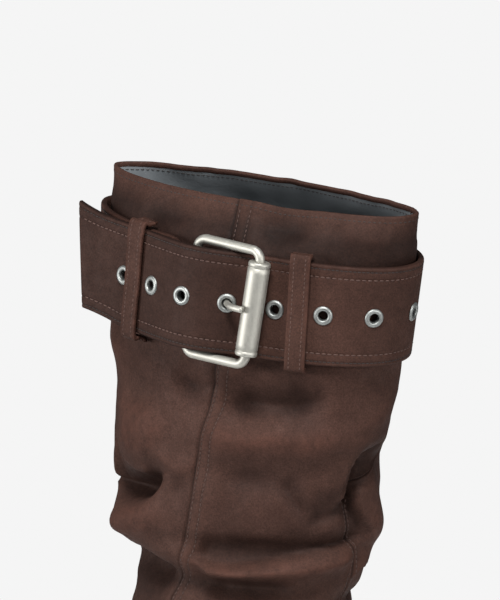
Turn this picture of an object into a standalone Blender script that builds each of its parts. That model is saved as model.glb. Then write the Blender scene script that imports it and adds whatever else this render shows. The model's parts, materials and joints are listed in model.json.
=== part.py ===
"""Slouch boot with a belted collar: a left boot, empty, standing on its sole.

Frame: metres, +Z up, toe towards -X, outer side towards -Y. The origin is on the floor, under
the middle of the heel.
A place on the upper is (turn, rise). Turn runs from 0 at the back seam past the outer side,
the front at 0.5 and the inner side to 1. Rise is 0 at the sole's edge and 1 at the collar.
"""
import math

import bmesh
import bpy
from mathutils import Vector

SOLE_LENGTH = 0.260
BALL_WIDTH = 0.090
COLLAR_HEIGHT = 0.400
HEEL_SEAT = 0.036
SOLE_THICK = 0.0045
SOLE_EDGE = 0.0011
TOP_PIECE = 0.006
HEEL_LENGTH_SHARE = 0.225
WALL = 0.0020
INSOLE_THICK = 0.0025
INSOLE_SCALE = 0.85
INSOLE_LIFT = 0.0007
INSOLE_BACK = 0.033
INSOLE_FRONT = 0.966
TOE_IN = 0.006
GAP = 0.0004

UPPER_HEIGHT = COLLAR_HEIGHT - HEEL_SEAT - SOLE_THICK
SHAFT_SPAN = UPPER_HEIGHT * 1.38
BACK_X = SOLE_LENGTH * HEEL_LENGTH_SHARE / 2

BELT_WIDTH = 0.0525
BELT_UNDER_RIM = 0.0220
BELT_CLIMB = 0.0042
STRAP = 0.0030
PLY = 0.0018
TONGUE = 0.013
TAIL_LENGTH = 0.074
TAIL_SLANT = 0.0085
TAIL_TAPER = 0.0040
TAIL_CURL = 0.0036
LOOP_WIDTH = 0.0100
LOOP_FOOT = 0.0048
LOOP_TUCK = 0.0036
LOOP_BEND = 0.0022
LOOP_OVER = 0.0006

ROLLER_TURN = 0.196
HINGE_AT = 0.0360
WIRE_RADIUS = 0.0024
FRAME_CORNER = 0.0050
FRAME_HALF = BELT_WIDTH / 2 + WIRE_RADIUS + 1.5 * GAP
ROLLER_RADIUS = 0.0056
ROLLER_LENGTH = 2 * (FRAME_HALF - FRAME_CORNER)
PRONG_HOLE_AT = HINGE_AT * 0.42
PRONG_RADIUS = 0.0017
PRONG_EYE = 0.00075
ROLLER_CHAMFER = 0.0006
SLOT_BACK = 0.0044
SLOT_FRONT = 0.0050
SLOT_HALF = 0.0025

EYELET_PITCH = 0.0242
TAIL_PITCH = 0.0215
EYELETS_TO_TAIL = 3
EYELETS_ROUND = 13
EYELET_RADIUS = 0.0049
EYELET_BORE = 0.0025
EYELET_BARREL = 0.0005
EYELET_FLANGE = 0.0006

AROUND = 40
ALONG = 37

# Back and front are shares of the sole's length from its back end, lifts are heights above the
# sole in shares of the upper's height, and half widths are shares of the ball width. Foot is 1
# where the section has the sole's outline and 0 where it is the shaft's oval.
UPPER_COLUMNS = ("rise", "back", "back_lift", "front", "front_lift", "foot", "foot_scale", "half")
UPPER_ROWS = (
    (0.00, 0.017, 0.000, 0.991, 0.000, 1.00, 0.97, 0.40),
    (0.03, 0.007, 0.019, 1.004, 0.015, 1.00, 1.02, 0.40),
    (0.08, 0.002, 0.049, 1.004, 0.042, 1.00, 1.05, 0.40),
    (0.13, 0.005, 0.079, 0.975, 0.079, 1.00, 1.03, 0.40),
    (0.18, 0.015, 0.110, 0.915, 0.119, 0.95, 0.97, 0.40),
    (0.23, 0.025, 0.144, 0.825, 0.155, 0.85, 0.93, 0.40),
    (0.28, 0.031, 0.180, 0.720, 0.196, 0.65, 0.90, 0.41),
    (0.33, 0.032, 0.216, 0.625, 0.245, 0.40, 0.90, 0.42),
    (0.38, 0.029, 0.255, 0.557, 0.295, 0.20, 0.90, 0.44),
    (0.44, 0.020, 0.300, 0.510, 0.350, 0.05, 0.90, 0.47),
    (0.50, 0.009, 0.345, 0.480, 0.402, 0.00, 0.90, 0.49),
    (0.60, -0.012, 0.452, 0.474, 0.528, 0.00, 0.90, 0.52),
    (0.70, -0.057, 0.586, 0.506, 0.672, 0.00, 0.90, 0.55),
    (0.80, -0.088, 0.716, 0.504, 0.812, 0.00, 0.90, 0.510),
    (0.85, -0.112, 0.783, 0.520, 0.885, 0.00, 0.90, 0.505),
    (0.90, -0.130, 0.850, 0.529, 0.958, 0.00, 0.90, 0.490),
    (0.95, -0.146, 0.919, 0.526, 1.028, 0.00, 0.90, 0.455),
    (1.00, -0.166, 0.993, 0.525, 1.094, 0.00, 0.90, 0.295),
)

# Half widths beside the centreline, in shares of the ball width, before the ends close.
OUTLINE_COLUMNS = ("along", "outer", "inner")
OUTLINE_ROWS = (
    (0.00, 0.66, 0.66),
    (0.05, 0.61, 0.61),
    (0.12, 0.51, 0.51),
    (0.25, 0.39, 0.37),
    (0.40, 0.35, 0.27),
    (0.55, 0.43, 0.37),
    (0.67, 0.495, 0.515),
    (0.78, 0.50, 0.53),
    (0.88, 0.49, 0.47),
    (0.96, 0.49, 0.43),
    (1.00, 0.50, 0.42),
)

# Underside of the outsole: height in shares of the heel seat's height.
SOLE_COLUMNS = ("along", "under")
SOLE_ROWS = (
    (0.00, 1.00),
    (0.20, 0.95),
    (0.32, 0.75),
    (0.44, 0.38),
    (0.54, 0.10),
    (0.61, 0.00),
    (0.78, 0.00),
    (0.88, 0.07),
    (1.00, 0.26),
)

# Folds of the slouched shaft. Depths in shares of the ball width: out is away from the
# shaft, down is along it. Tilt is the rise gained per turn.
FOLD_COLUMNS = ("turn", "rise", "half_turn", "half_rise", "tilt", "out", "down")
FOLD_ROWS = (
    (0.177, 0.798, 0.080, 0.022, 0.00, -0.025, 0.00),
    (0.140, 0.762, 0.120, 0.018, 0.05, 0.025, 0.00),
    (0.180, 0.727, 0.080, 0.015, 0.00, -0.030, 0.00),
    (0.350, 0.745, 0.060, 0.022, -0.20, 0.035, 0.02),
    (0.350, 0.691, 0.070, 0.014, -0.15, -0.095, 0.00),
    (0.390, 0.658, 0.085, 0.018, -0.05, 0.055, 0.04),
    (0.380, 0.607, 0.110, 0.016, 0.05, -0.090, 0.00),
    (0.000, 0.795, 0.080, 0.025, -0.20, 0.022, 0.03),
    (0.000, 0.740, 0.070, 0.016, 0.10, -0.065, 0.00),
    (0.000, 0.700, 0.060, 0.020, 0.25, -0.005, 0.00),
    (0.000, 0.722, 0.060, 0.014, 0.00, -0.020, 0.00),
    (0.960, 0.668, 0.090, 0.024, 0.10, 0.055, 0.03),
    (0.085, 0.690, 0.035, 0.020, -0.50, -0.035, 0.00),
    (0.190, 0.650, 0.070, 0.010, 0.00, -0.045, 0.00),
    (0.190, 0.634, 0.090, 0.012, 0.00, 0.030, 0.02),
    (0.210, 0.606, 0.120, 0.014, 0.05, -0.050, 0.00),
    (0.970, 0.584, 0.090, 0.013, 0.00, -0.075, 0.00),
    (0.400, 0.575, 0.120, 0.022, 0.05, -0.040, 0.00),
    (0.400, 0.830, 0.090, 0.030, 0.00, 0.025, 0.00),
    (0.100, 0.575, 0.140, 0.018, -0.05, 0.040, 0.04),
    (0.470, 0.535, 0.120, 0.014, 0.00, -0.060, 0.00),
    (0.150, 0.530, 0.130, 0.014, 0.05, -0.045, 0.00),
    (0.560, 0.495, 0.180, 0.018, 0.00, 0.045, 0.04),
    (0.060, 0.490, 0.130, 0.016, 0.00, 0.035, 0.03),
    (0.450, 0.450, 0.140, 0.014, 0.00, -0.045, 0.00),
    (0.000, 0.440, 0.110, 0.014, 0.00, -0.030, 0.00),
    (0.520, 0.405, 0.120, 0.016, 0.00, 0.028, 0.02),
    (0.500, 0.365, 0.100, 0.013, 0.00, -0.025, 0.00),
    (0.700, 0.735, 0.110, 0.018, 0.05, -0.045, 0.00),
    (0.720, 0.690, 0.120, 0.018, 0.05, 0.040, 0.04),
    (0.680, 0.640, 0.120, 0.016, -0.05, -0.055, 0.00),
    (0.740, 0.590, 0.120, 0.018, 0.00, 0.040, 0.04),
    (0.740, 0.545, 0.110, 0.014, 0.00, -0.045, 0.00),
)


# Material name, colour, roughness and metallic value by the start of a piece's name.
LEATHER = ("brown_leather", (0.052, 0.032, 0.025, 1.0), 0.75, 0.0)
NICKEL = ("satin_nickel", (0.50, 0.50, 0.45, 1.0), 0.35, 1.0)
LOOKS = {
    "upper": LEATHER,
    "belt": LEATHER,
    "loop": LEATHER,
    "buckle": NICKEL,
    "eyelet": ("eyelet_nickel", (0.33, 0.36, 0.34, 1.0), 0.30, 1.0),
    "insole": ("lining_leather", (0.030, 0.034, 0.036, 1.0), 0.60, 0.0),
    "heel": ("stacked_heel", (0.035, 0.022, 0.018, 1.0), 0.50, 0.0),
    "outsole": ("sole_rubber", (0.022, 0.018, 0.017, 1.0), 0.70, 0.0),
}


def named(columns, row):
    """Give a table row's values their column names."""
    return dict(zip(columns, row))


def slope_at(rows, index, column):
    """Slope of a table column at a row, flat where the column turns back."""
    if index in (0, len(rows) - 1):
        step = 0 if index == 0 else index - 1
        run = rows[step + 1][0] - rows[step][0]
        return (rows[step + 1][column] - rows[step][column]) / run
    run_before = rows[index][0] - rows[index - 1][0]
    run_after = rows[index + 1][0] - rows[index][0]
    before = (rows[index][column] - rows[index - 1][column]) / run_before
    after = (rows[index + 1][column] - rows[index][column]) / run_after
    if before * after <= 0:
        return 0.0
    weight_before = 2 * run_after + run_before
    weight_after = run_after + 2 * run_before
    return (weight_before + weight_after) / (weight_before / before + weight_after / after)


def read_table(rows, columns, name, place):
    """Read a table column smoothly at a place between its rows."""
    column = columns.index(name)
    place = min(max(place, rows[0][0]), rows[-1][0])
    index = 0
    while index < len(rows) - 2 and place > rows[index + 1][0]:
        index += 1
    run = rows[index + 1][0] - rows[index][0]
    part = (place - rows[index][0]) / run
    start = rows[index][column]
    end = rows[index + 1][column]
    slope_start = slope_at(rows, index, column) * run
    slope_end = slope_at(rows, index + 1, column) * run
    square = part * part
    cube = square * part
    return (
        (2 * cube - 3 * square + 1) * start
        + (cube - 2 * square + part) * slope_start
        + (3 * square - 2 * cube) * end
        + (cube - square) * slope_end
    )


def mix(start, end, part):
    """Blend two numbers."""
    return start + (end - start) * part


def outline_half(along, outer):
    """Half width of the foot's outline beside its centreline."""
    side = "outer" if outer else "inner"
    closing = 2 * math.sqrt(max(along * (1 - along), 0))
    return BALL_WIDTH * closing * read_table(OUTLINE_ROWS, OUTLINE_COLUMNS, side, along)


def centreline(along):
    """Sideways place of the foot's centreline: the toe turns in a little."""
    return TOE_IN * max(0.0, (along - 0.5) * 2) ** 2


def sole_share(x):
    """Share of the sole's length at x, 0 at the back."""
    return (BACK_X - x) / SOLE_LENGTH


def sole_under(x):
    """Height of the outsole's underside at x."""
    return HEEL_SEAT * read_table(SOLE_ROWS, SOLE_COLUMNS, "under", sole_share(x))


def sole_top(x):
    """Height of the outsole's upper face at x."""
    return sole_under(x) + SOLE_THICK


def smooth_upper(turn, rise):
    """Outer face of the upper before its folds."""
    def value(name):
        return read_table(UPPER_ROWS, UPPER_COLUMNS, name, rise)
    angle = 2 * math.pi * turn
    along = (1 - math.cos(angle)) / 2
    outer = math.sin(angle) >= 0
    back_x = BACK_X - value("back") * SOLE_LENGTH
    front_x = BACK_X - value("front") * SOLE_LENGTH
    x = mix(back_x, front_x, along)
    back_lift = value("back_lift") * UPPER_HEIGHT
    front_lift = value("front_lift") * UPPER_HEIGHT
    level_z = mix(sole_top(back_x) + back_lift, sole_top(front_x) + front_lift, along)
    lift = mix(back_lift, front_lift, along)
    follow = max(0.0, 1 - rise / 0.20) ** 1.5
    z = mix(level_z, sole_top(x) + max(lift, GAP), follow)
    foot_half = outline_half(along, outer) * value("foot_scale")
    pinch = 0.94 + 0.22 * along * along
    shaft_half = BALL_WIDTH * value("half") * abs(math.sin(angle)) ** pinch
    foot = value("foot")
    half = mix(shaft_half, foot_half, foot)
    y = (-half if outer else half) + centreline(along) * foot
    return Vector((x, y, z))


def outward(turn, rise):
    """Direction straight out of the smooth shaft."""
    step = 0.002
    across = smooth_upper(turn + step, rise) - smooth_upper(turn - step, rise)
    low = max(rise - step, 0.0)
    high = min(rise + step, 1.0)
    climb = smooth_upper(turn, high) - smooth_upper(turn, low)
    return climb.cross(across).normalized()


def fold_shift(turn, rise):
    """How far the folds move the shaft's face: out of it and down along it."""
    out = 0.0
    down = 0.0
    for row in FOLD_ROWS:
        fold = named(FOLD_COLUMNS, row)
        beside = (turn - fold["turn"] + 0.5) % 1.0 - 0.5
        above = rise - fold["rise"] - fold["tilt"] * beside
        reach = (beside / fold["half_turn"]) ** 2 + (above / fold["half_rise"]) ** 2
        if reach < 9:
            share = math.exp(-reach)
            out += fold["out"] * share
            down += fold["down"] * share
    return out * BALL_WIDTH, down * BALL_WIDTH


def upper_face(turn, rise):
    """Outer face of the upper with its folds."""
    place = smooth_upper(turn, rise)
    out, down = fold_shift(turn, rise)
    if abs(out) + abs(down) > 1e-7:
        place = place + outward(turn, rise) * out
        place.z -= down
    return place


def finish(obj):
    """Give a piece the material that its name calls for."""
    for start, look in LOOKS.items():
        if obj.name.startswith(start):
            material = bpy.data.materials.get(look[0])
            if material is None:
                material = bpy.data.materials.new(look[0])
                material.use_nodes = True
                shader = material.node_tree.nodes["Principled BSDF"]
                shader.inputs["Base Color"].default_value = look[1]
                shader.inputs["Roughness"].default_value = look[2]
                shader.inputs["Metallic"].default_value = look[3]
            obj.data.materials.append(material)


def add_solid(name, points, faces):
    """Make one closed body from points and faces."""
    mesh = bpy.data.meshes.new(name)
    mesh.from_pydata([tuple(point) for point in points], [], faces)
    body = bmesh.new()
    body.from_mesh(mesh)
    bmesh.ops.recalc_face_normals(body, faces=body.faces)
    body.to_mesh(mesh)
    body.free()
    obj = bpy.data.objects.new(name, mesh)
    bpy.context.scene.collection.objects.link(obj)
    finish(obj)
    return obj


def ring_faces(first, second, count):
    """Faces between two closed rings of points."""
    faces = []
    for index in range(count):
        after = (index + 1) % count
        faces.append((first + index, first + after, second + after, second + index))
    return faces


def row_rises():
    """Rises of the upper's rows, closer together over the folds."""
    rises = []
    for index in range(ALONG):
        share = index / (ALONG - 1)
        rises.append(share + 0.045 * math.sin(2 * math.pi * share))
    return rises


def build_upper():
    """The upper: one hollow shell, open at the collar and over the sole."""
    rises = row_rises()
    outer = []
    for rise in rises:
        ring = [upper_face(index / AROUND, rise) for index in range(AROUND)]
        outer.append(ring)
    points = [point for ring in outer for point in ring]
    for level in range(ALONG):
        below = outer[max(level - 1, 0)]
        above = outer[min(level + 1, ALONG - 1)]
        for index in range(AROUND):
            beside = outer[level][(index + 1) % AROUND] - outer[level][index - 1]
            climb = above[index] - below[index]
            normal = climb.cross(beside)
            if level in (0, ALONG - 1):
                normal.z = 0.0
            points.append(outer[level][index] - normal.normalized() * WALL)
    faces = []
    inside = ALONG * AROUND
    for level in range(ALONG - 1):
        faces += ring_faces(level * AROUND, (level + 1) * AROUND, AROUND)
        faces += ring_faces(inside + (level + 1) * AROUND, inside + level * AROUND, AROUND)
    faces += ring_faces(inside, 0, AROUND)
    last = (ALONG - 1) * AROUND
    faces += ring_faces(last, inside + last, AROUND)
    return add_solid("upper", points, faces)


def build_slab(name, stations, top_edge, under_edge, cells=2):
    """A flat piece across the foot: each edge gives x, outer y, inner y and z."""
    points = []
    rows = []
    for edge in (top_edge, under_edge):
        side = []
        for station in stations:
            x, outer_y, inner_y, z = edge(station)
            count = cells + 1 if inner_y - outer_y > 1e-6 else 1
            row = []
            for index in range(count):
                y = mix(outer_y, inner_y, index / cells) if count > 1 else outer_y
                row.append(len(points))
                points.append(Vector((x, y, z)))
            side.append(row)
        rows.append(side)
    faces = []
    top, under = rows
    for side in (top, under):
        for row, after in zip(side, side[1:]):
            for index in range(cells):
                corners = [
                    row[min(index, len(row) - 1)],
                    row[min(index + 1, len(row) - 1)],
                    after[min(index + 1, len(after) - 1)],
                    after[min(index, len(after) - 1)],
                ]
                faces.append(tuple(dict.fromkeys(corners)))
    for end in (0, -1):
        for index in range(len(top) - 1):
            faces.append((top[index][end], top[index + 1][end],
                          under[index + 1][end], under[index][end]))
    for row, below in ((top[0], under[0]), (top[-1], under[-1])):
        for index in range(len(row) - 1):
            faces.append((row[index], row[index + 1], below[index + 1], below[index]))
    return add_solid(name, points, faces)


def stations_between(low, high, count):
    """Shares of the sole's length, close together towards both ends."""
    spread = [(1 - math.cos(math.pi * index / count)) / 2 for index in range(count + 1)]
    return [mix(low, high, share) for share in spread]


def sole_edges(along, margin):
    """Edges of the sole's outline, pushed out by a margin."""
    grow = 1 + margin / (BALL_WIDTH / 2)
    outer_y = centreline(along) - outline_half(along, True) * grow
    inner_y = centreline(along) + outline_half(along, False) * grow
    return outer_y, inner_y


def build_outsole():
    """The outsole with its arch, heel seat and toe spring."""
    def edge(along, height):
        outer_y, inner_y = sole_edges(along, SOLE_EDGE)
        x = BACK_X - along * SOLE_LENGTH
        return x, outer_y, inner_y, height(x)

    def under(along):
        return edge(along, sole_under)

    def top(along):
        return edge(along, sole_top)
    flat = (0.61, 0.69, 0.78)
    stations = sorted(set(stations_between(0.0, 1.0, 30)) | set(flat))
    return build_slab("outsole", stations, top, under)


def heel_edge(along, taper, height):
    """Edge of the heel block or its top piece at a height."""
    outer_y, inner_y = sole_edges(along, SOLE_EDGE)
    middle = (outer_y + inner_y) / 2
    seat_middle = HEEL_LENGTH_SHARE * 0.5
    x = BACK_X - mix(along, seat_middle, taper * 1.2) * SOLE_LENGTH
    return x, mix(outer_y, middle, taper), mix(inner_y, middle, taper), height(x)


def build_heel():
    """The heel block, and the top piece that it stands on."""
    stations = [HEEL_LENGTH_SHARE * (index / 12) ** 2 for index in range(13)]

    def block_top(along):
        return heel_edge(along, 0.0, lambda x: sole_under(x) - GAP)

    def block_under(along):
        return heel_edge(along, 0.11, lambda x: TOP_PIECE + GAP)

    def piece_top(along):
        return heel_edge(along, 0.11, lambda x: TOP_PIECE)

    def piece_under(along):
        return heel_edge(along, 0.12, lambda x: 0.0)
    build_slab("heel_block", stations, block_top, block_under)
    build_slab("heel_top_piece", stations, piece_top, piece_under)


def build_insole():
    """The insole inside the upper, on the outsole's upper face."""
    def edge(along, lift):
        outer_y = centreline(along) - outline_half(along, True) * INSOLE_SCALE
        inner_y = centreline(along) + outline_half(along, False) * INSOLE_SCALE
        x = BACK_X - mix(INSOLE_BACK, INSOLE_FRONT, along) * SOLE_LENGTH
        return x, outer_y, inner_y, sole_top(x) + lift

    def under(along):
        return edge(along, INSOLE_LIFT)

    def top(along):
        return edge(along, INSOLE_LIFT + INSOLE_THICK)
    return build_slab("insole", stations_between(0.0, 1.0, 32), top, under)


BELT_RISE = 1 - (BELT_UNDER_RIM + BELT_WIDTH / 2) / SHAFT_SPAN
ARC_STEPS = 240


def measure_arc():
    """Length along the belt's middle line at evenly spaced turns."""
    lengths = [0.0]
    before = smooth_upper(0.0, BELT_RISE)
    for index in range(1, ARC_STEPS + 1):
        place = smooth_upper(index / ARC_STEPS, BELT_RISE)
        lengths.append(lengths[-1] + (place - before).length)
        before = place
    return lengths


ARC = measure_arc()
GIRTH = ARC[-1]


def arc_at(turn):
    """Length along the belt's middle line at a turn."""
    index = min(int(turn * ARC_STEPS), ARC_STEPS - 1)
    return mix(ARC[index], ARC[index + 1], turn * ARC_STEPS - index)


ROLLER_ARC = arc_at(ROLLER_TURN)


def turn_at(arc):
    """Turn at a length along the belt from the roller, positive towards the front."""
    length = (ROLLER_ARC + arc) % GIRTH
    index = 0
    while ARC[index + 1] < length:
        index += 1
    part = (length - ARC[index]) / (ARC[index + 1] - ARC[index])
    return (index + part) / ARC_STEPS


def on_shaft(arc, up, out):
    """A place beside the belt: along it, up from its middle line, and out of the shaft."""
    turn = turn_at(arc)
    rise = BELT_RISE + BELT_CLIMB / SHAFT_SPAN * (1 - math.cos(2 * math.pi * turn)) / 2
    reach = BELT_WIDTH / 2 / SHAFT_SPAN
    climb = smooth_upper(turn, rise + reach) - smooth_upper(turn, rise - reach)
    return smooth_upper(turn, rise) + climb.normalized() * up + outward(turn, rise) * out


STAND_OFF = 2 * GAP
HINGE_OUT = STAND_OFF + PLY + GAP / 2 + WIRE_RADIUS
WRAP = WIRE_RADIUS + GAP / 2 + PLY / 2
LAYER_ONE = STAND_OFF + STRAP / 2
LAYER_TWO = LAYER_ONE + STRAP + GAP
OVER_HINGE = HINGE_OUT + WRAP + PLY / 2 + 2 * GAP + STRAP / 2
ROLLER_OUT = LAYER_ONE + STRAP / 2 + GAP + ROLLER_RADIUS
TONGUE_PLACES = 13
ROUND_STEPS = 44
# The strap's second turn, as (how far along, how far up to its place over the hinge bar):
# from the roller to the hinge bar, then from the hinge bar to the free end.
RISE_OVER_HINGE = (
    (-0.10, 0.00),
    (0.14, 0.05),
    (0.34, 0.32),
    (0.55, 0.66),
    (0.76, 0.93),
    (0.93, 1.00),
    (1.07, 1.00),
)
FALL_TO_FREE_END = (
    (0.10, 0.80),
    (0.20, 0.53),
    (0.30, 0.28),
    (0.40, 0.09),
    (0.49, 0.02),
    (0.57, 0.05),
    (0.66, 0.16),
    (0.76, 0.40),
    (0.84, 0.72),
    (0.92, 1.12),
    (1.00, 1.65),
)


def strap_path():
    """The strap's middle line as (arc, out, thickness, half width), tongue to free end."""
    half = BELT_WIDTH / 2
    trimmed = FRAME_HALF - FRAME_CORNER - 2 * GAP
    path = [
        (HINGE_AT + TONGUE, HINGE_OUT - WRAP, PLY, trimmed),
        (HINGE_AT + TONGUE * 0.46, HINGE_OUT - WRAP, PLY, trimmed),
    ]
    for step in range(7):
        angle = -math.pi / 2 - math.pi * step / 6
        along = HINGE_AT + WRAP * math.cos(angle)
        path.append((along, HINGE_OUT + WRAP * math.sin(angle), PLY, trimmed))
    path += [
        (HINGE_AT + TONGUE * 0.46, HINGE_OUT + WRAP * 0.75, PLY, trimmed),
        (HINGE_AT + TONGUE * 0.92, LAYER_ONE + PLY * 1.2, PLY, mix(trimmed, half, 0.6)),
        (HINGE_AT + TONGUE * 1.31, LAYER_ONE + PLY * 0.5, mix(PLY, STRAP, 0.5), half),
        (HINGE_AT + TONGUE * 1.85, LAYER_ONE, STRAP, half),
    ]
    first = HINGE_AT + TONGUE * 2.6
    last = GIRTH - HINGE_AT * 0.4
    for step in range(ROUND_STEPS + 1):
        path.append((mix(first, last, step / ROUND_STEPS), LAYER_ONE, STRAP, half))
    for share, over in RISE_OVER_HINGE:
        arc = GIRTH + share * HINGE_AT
        path.append((arc, mix(LAYER_ONE, OVER_HINGE, over), STRAP, half))
    for share, over in FALL_TO_FREE_END:
        arc = GIRTH + HINGE_AT + share * TAIL_LENGTH
        path.append((arc, mix(LAYER_TWO, OVER_HINGE, over), STRAP, half))
    return path


def path_normal(path, index):
    """Direction across the thickness in (along, out)."""
    low = path[max(index - 1, 0)]
    high = path[min(index + 1, len(path) - 1)]
    along = high[0] - low[0]
    out = high[1] - low[1]
    length = math.hypot(along, out)
    return -out / length, along / length


def band_faces(count):
    """Faces of a band with six points at each of its places."""
    ring = (0, 1, 2, 5, 4, 3)
    faces = []
    for index in range(count - 1):
        here = index * 6
        after = here + 6
        for corner in range(6):
            first = ring[corner]
            second = ring[(corner + 1) % 6]
            faces.append((here + first, here + second, after + second, after + first))
    for end in (0, (count - 1) * 6):
        faces.append((end, end + 1, end + 4, end + 3))
        faces.append((end + 1, end + 2, end + 5, end + 4))
    return faces


def tail_cut(arc, up, half):
    """Shorten and narrow the strap's lower side towards its free end, and lift its corner."""
    start = GIRTH + HINGE_AT + TAIL_LENGTH * 0.62
    reach = max(0.0, (arc - start) / (GIRTH + HINGE_AT + TAIL_LENGTH - start))
    lower = 0.5 - up / half / 2
    curl = TAIL_CURL * reach ** 3 * max(0.0, up / half) ** 2
    return -TAIL_SLANT * reach * lower, TAIL_TAPER * reach * lower + curl


def build_strap():
    """The belt's one strap, before its holes."""
    path = strap_path()
    points = []
    for index, (arc, out, thick, half) in enumerate(path):
        across_arc, across_out = path_normal(path, index)
        for side in (-0.5, 0.5):
            shift = side * thick
            for up in (-half, 0.0, half):
                back, raised = tail_cut(arc, up, half)
                points.append(on_shaft(arc + across_arc * shift + back, up + raised,
                                       out + across_out * shift))
    return add_solid("belt_strap", points, band_faces(len(path)))


def strap_place(arc):
    """Middle of the strap's outer turn at a length from the roller, with its directions."""
    path = strap_path()[TONGUE_PLACES:]
    target = GIRTH + arc
    index = 0
    while index < len(path) - 2 and path[index + 1][0] < target:
        index += 1
    here = path[index]
    after = path[index + 1]
    slope = (after[1] - here[1]) / (after[0] - here[0])
    out = here[1] + slope * (target - here[0])
    step = STRAP / 2
    centre = on_shaft(arc, 0.0, out)
    beside = on_shaft(arc + step, 0.0, out + slope * step)
    beside = beside - on_shaft(arc - step, 0.0, out - slope * step)
    up = on_shaft(arc, step, out) - on_shaft(arc, -step, out)
    return centre, beside.normalized(), up.cross(beside).normalized()


def eyelet_arcs():
    """Lengths from the roller of the strap's eyelets, the prong's own hole first."""
    before = [-EYELET_PITCH * step for step in range(EYELETS_ROUND, 0, -1)]
    beyond = [TAIL_PITCH * step for step in range(EYELETS_TO_TAIL + 1)]
    return [PRONG_HOLE_AT + length for length in before + beyond]


def lathe(name, centre, axis, side, profile, segments):
    """Turn a closed (radius, height) profile about an axis."""
    other = axis.cross(side).normalized()
    points = []
    for radius, height in profile:
        for index in range(segments):
            angle = 2 * math.pi * index / segments
            spoke = side * math.cos(angle) + other * math.sin(angle)
            points.append(centre + spoke * radius + axis * height)
    faces = []
    for index in range(len(profile)):
        after = (index + 1) % len(profile)
        faces += ring_faces(index * segments, after * segments, segments)
    return add_solid(name, points, faces)


def build_eyelets():
    """One flanged ring in each hole of the strap."""
    face = STRAP / 2 + GAP / 4
    barrel = EYELET_BORE + EYELET_BARREL
    profile = (
        (EYELET_BORE, -face),
        (EYELET_BORE, face + EYELET_FLANGE),
        (EYELET_RADIUS, face + EYELET_FLANGE / 2),
        (EYELET_RADIUS, face),
        (barrel, face),
        (barrel, -face),
    )
    for number, arc in enumerate(eyelet_arcs(), start=1):
        centre, beside, normal = strap_place(arc)
        lathe(f"eyelet_{number:02d}", centre, normal, beside, profile, 12)


def cut_holes(strap):
    """Cut the eyelet holes and the prong's slot through the strap."""
    cutters = []
    hole_radius = EYELET_BORE + EYELET_BARREL + GAP / 2
    for arc in eyelet_arcs():
        centre, beside, normal = strap_place(arc)
        other = normal.cross(beside)
        points = []
        depth = STRAP
        for height in (-depth, depth):
            for index in range(12):
                angle = 2 * math.pi * (index + 0.5) / 12
                spoke = beside * math.cos(angle) + other * math.sin(angle)
                points.append(centre + spoke * hole_radius + normal * height)
        faces = ring_faces(0, 12, 12)
        faces.append(tuple(range(12)))
        faces.append(tuple(range(23, 11, -1)))
        cutters.append(add_solid("hole", points, faces))
    slot = []
    for along in (HINGE_AT - SLOT_BACK, HINGE_AT + SLOT_FRONT):
        for up in (-SLOT_HALF, SLOT_HALF):
            for out in (0.0, HINGE_OUT + WRAP + PLY / 2 + GAP / 2):
                slot.append(on_shaft(along, up, out))
    slot_faces = [(0, 1, 3, 2), (4, 5, 7, 6), (0, 1, 5, 4), (2, 3, 7, 6), (0, 2, 6, 4), (1, 3, 7, 5)]
    cutters.append(add_solid("slot", slot, slot_faces))
    for cutter in cutters:
        cut = strap.modifiers.new("cut", "BOOLEAN")
        cut.operation = "DIFFERENCE"
        cut.solver = "EXACT"
        cut.object = cutter
    depsgraph = bpy.context.evaluated_depsgraph_get()
    finished = bpy.data.meshes.new_from_object(strap.evaluated_get(depsgraph))
    strap.modifiers.clear()
    strap.data = finished
    for cutter in cutters:
        bpy.data.objects.remove(cutter)


def tube_along(name, path, radii, segments, closed):
    """A round rod along a path of points, with a radius at each."""
    points = []
    count = len(path)
    side = None
    for index, place in enumerate(path):
        before = path[index - 1] if index or closed else place
        after = path[(index + 1) % count] if index < count - 1 or closed else place
        tangent = (after - before).normalized()
        if side is None:
            side = tangent.orthogonal().normalized()
        side = (side - tangent * side.dot(tangent)).normalized()
        other = tangent.cross(side)
        for corner in range(segments):
            angle = 2 * math.pi * corner / segments
            spoke = side * math.cos(angle) + other * math.sin(angle)
            points.append(place + spoke * radii[index])
    faces = []
    for index in range(count if closed else count - 1):
        faces += ring_faces(index * segments, (index + 1) % count * segments, segments)
    if not closed:
        faces.append(tuple(range(segments)))
        faces.append(tuple(range((count - 1) * segments, count * segments)))
    return add_solid(name, points, faces)


def buckle_place(along, up, out):
    """A place on the buckle: its frame runs from the roller's bar to the hinge bar."""
    roller = on_shaft(0.0, up, ROLLER_OUT + out)
    hinge = on_shaft(HINGE_AT, up, HINGE_OUT + out)
    return roller + (hinge - roller) * (along / HINGE_AT)


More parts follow.
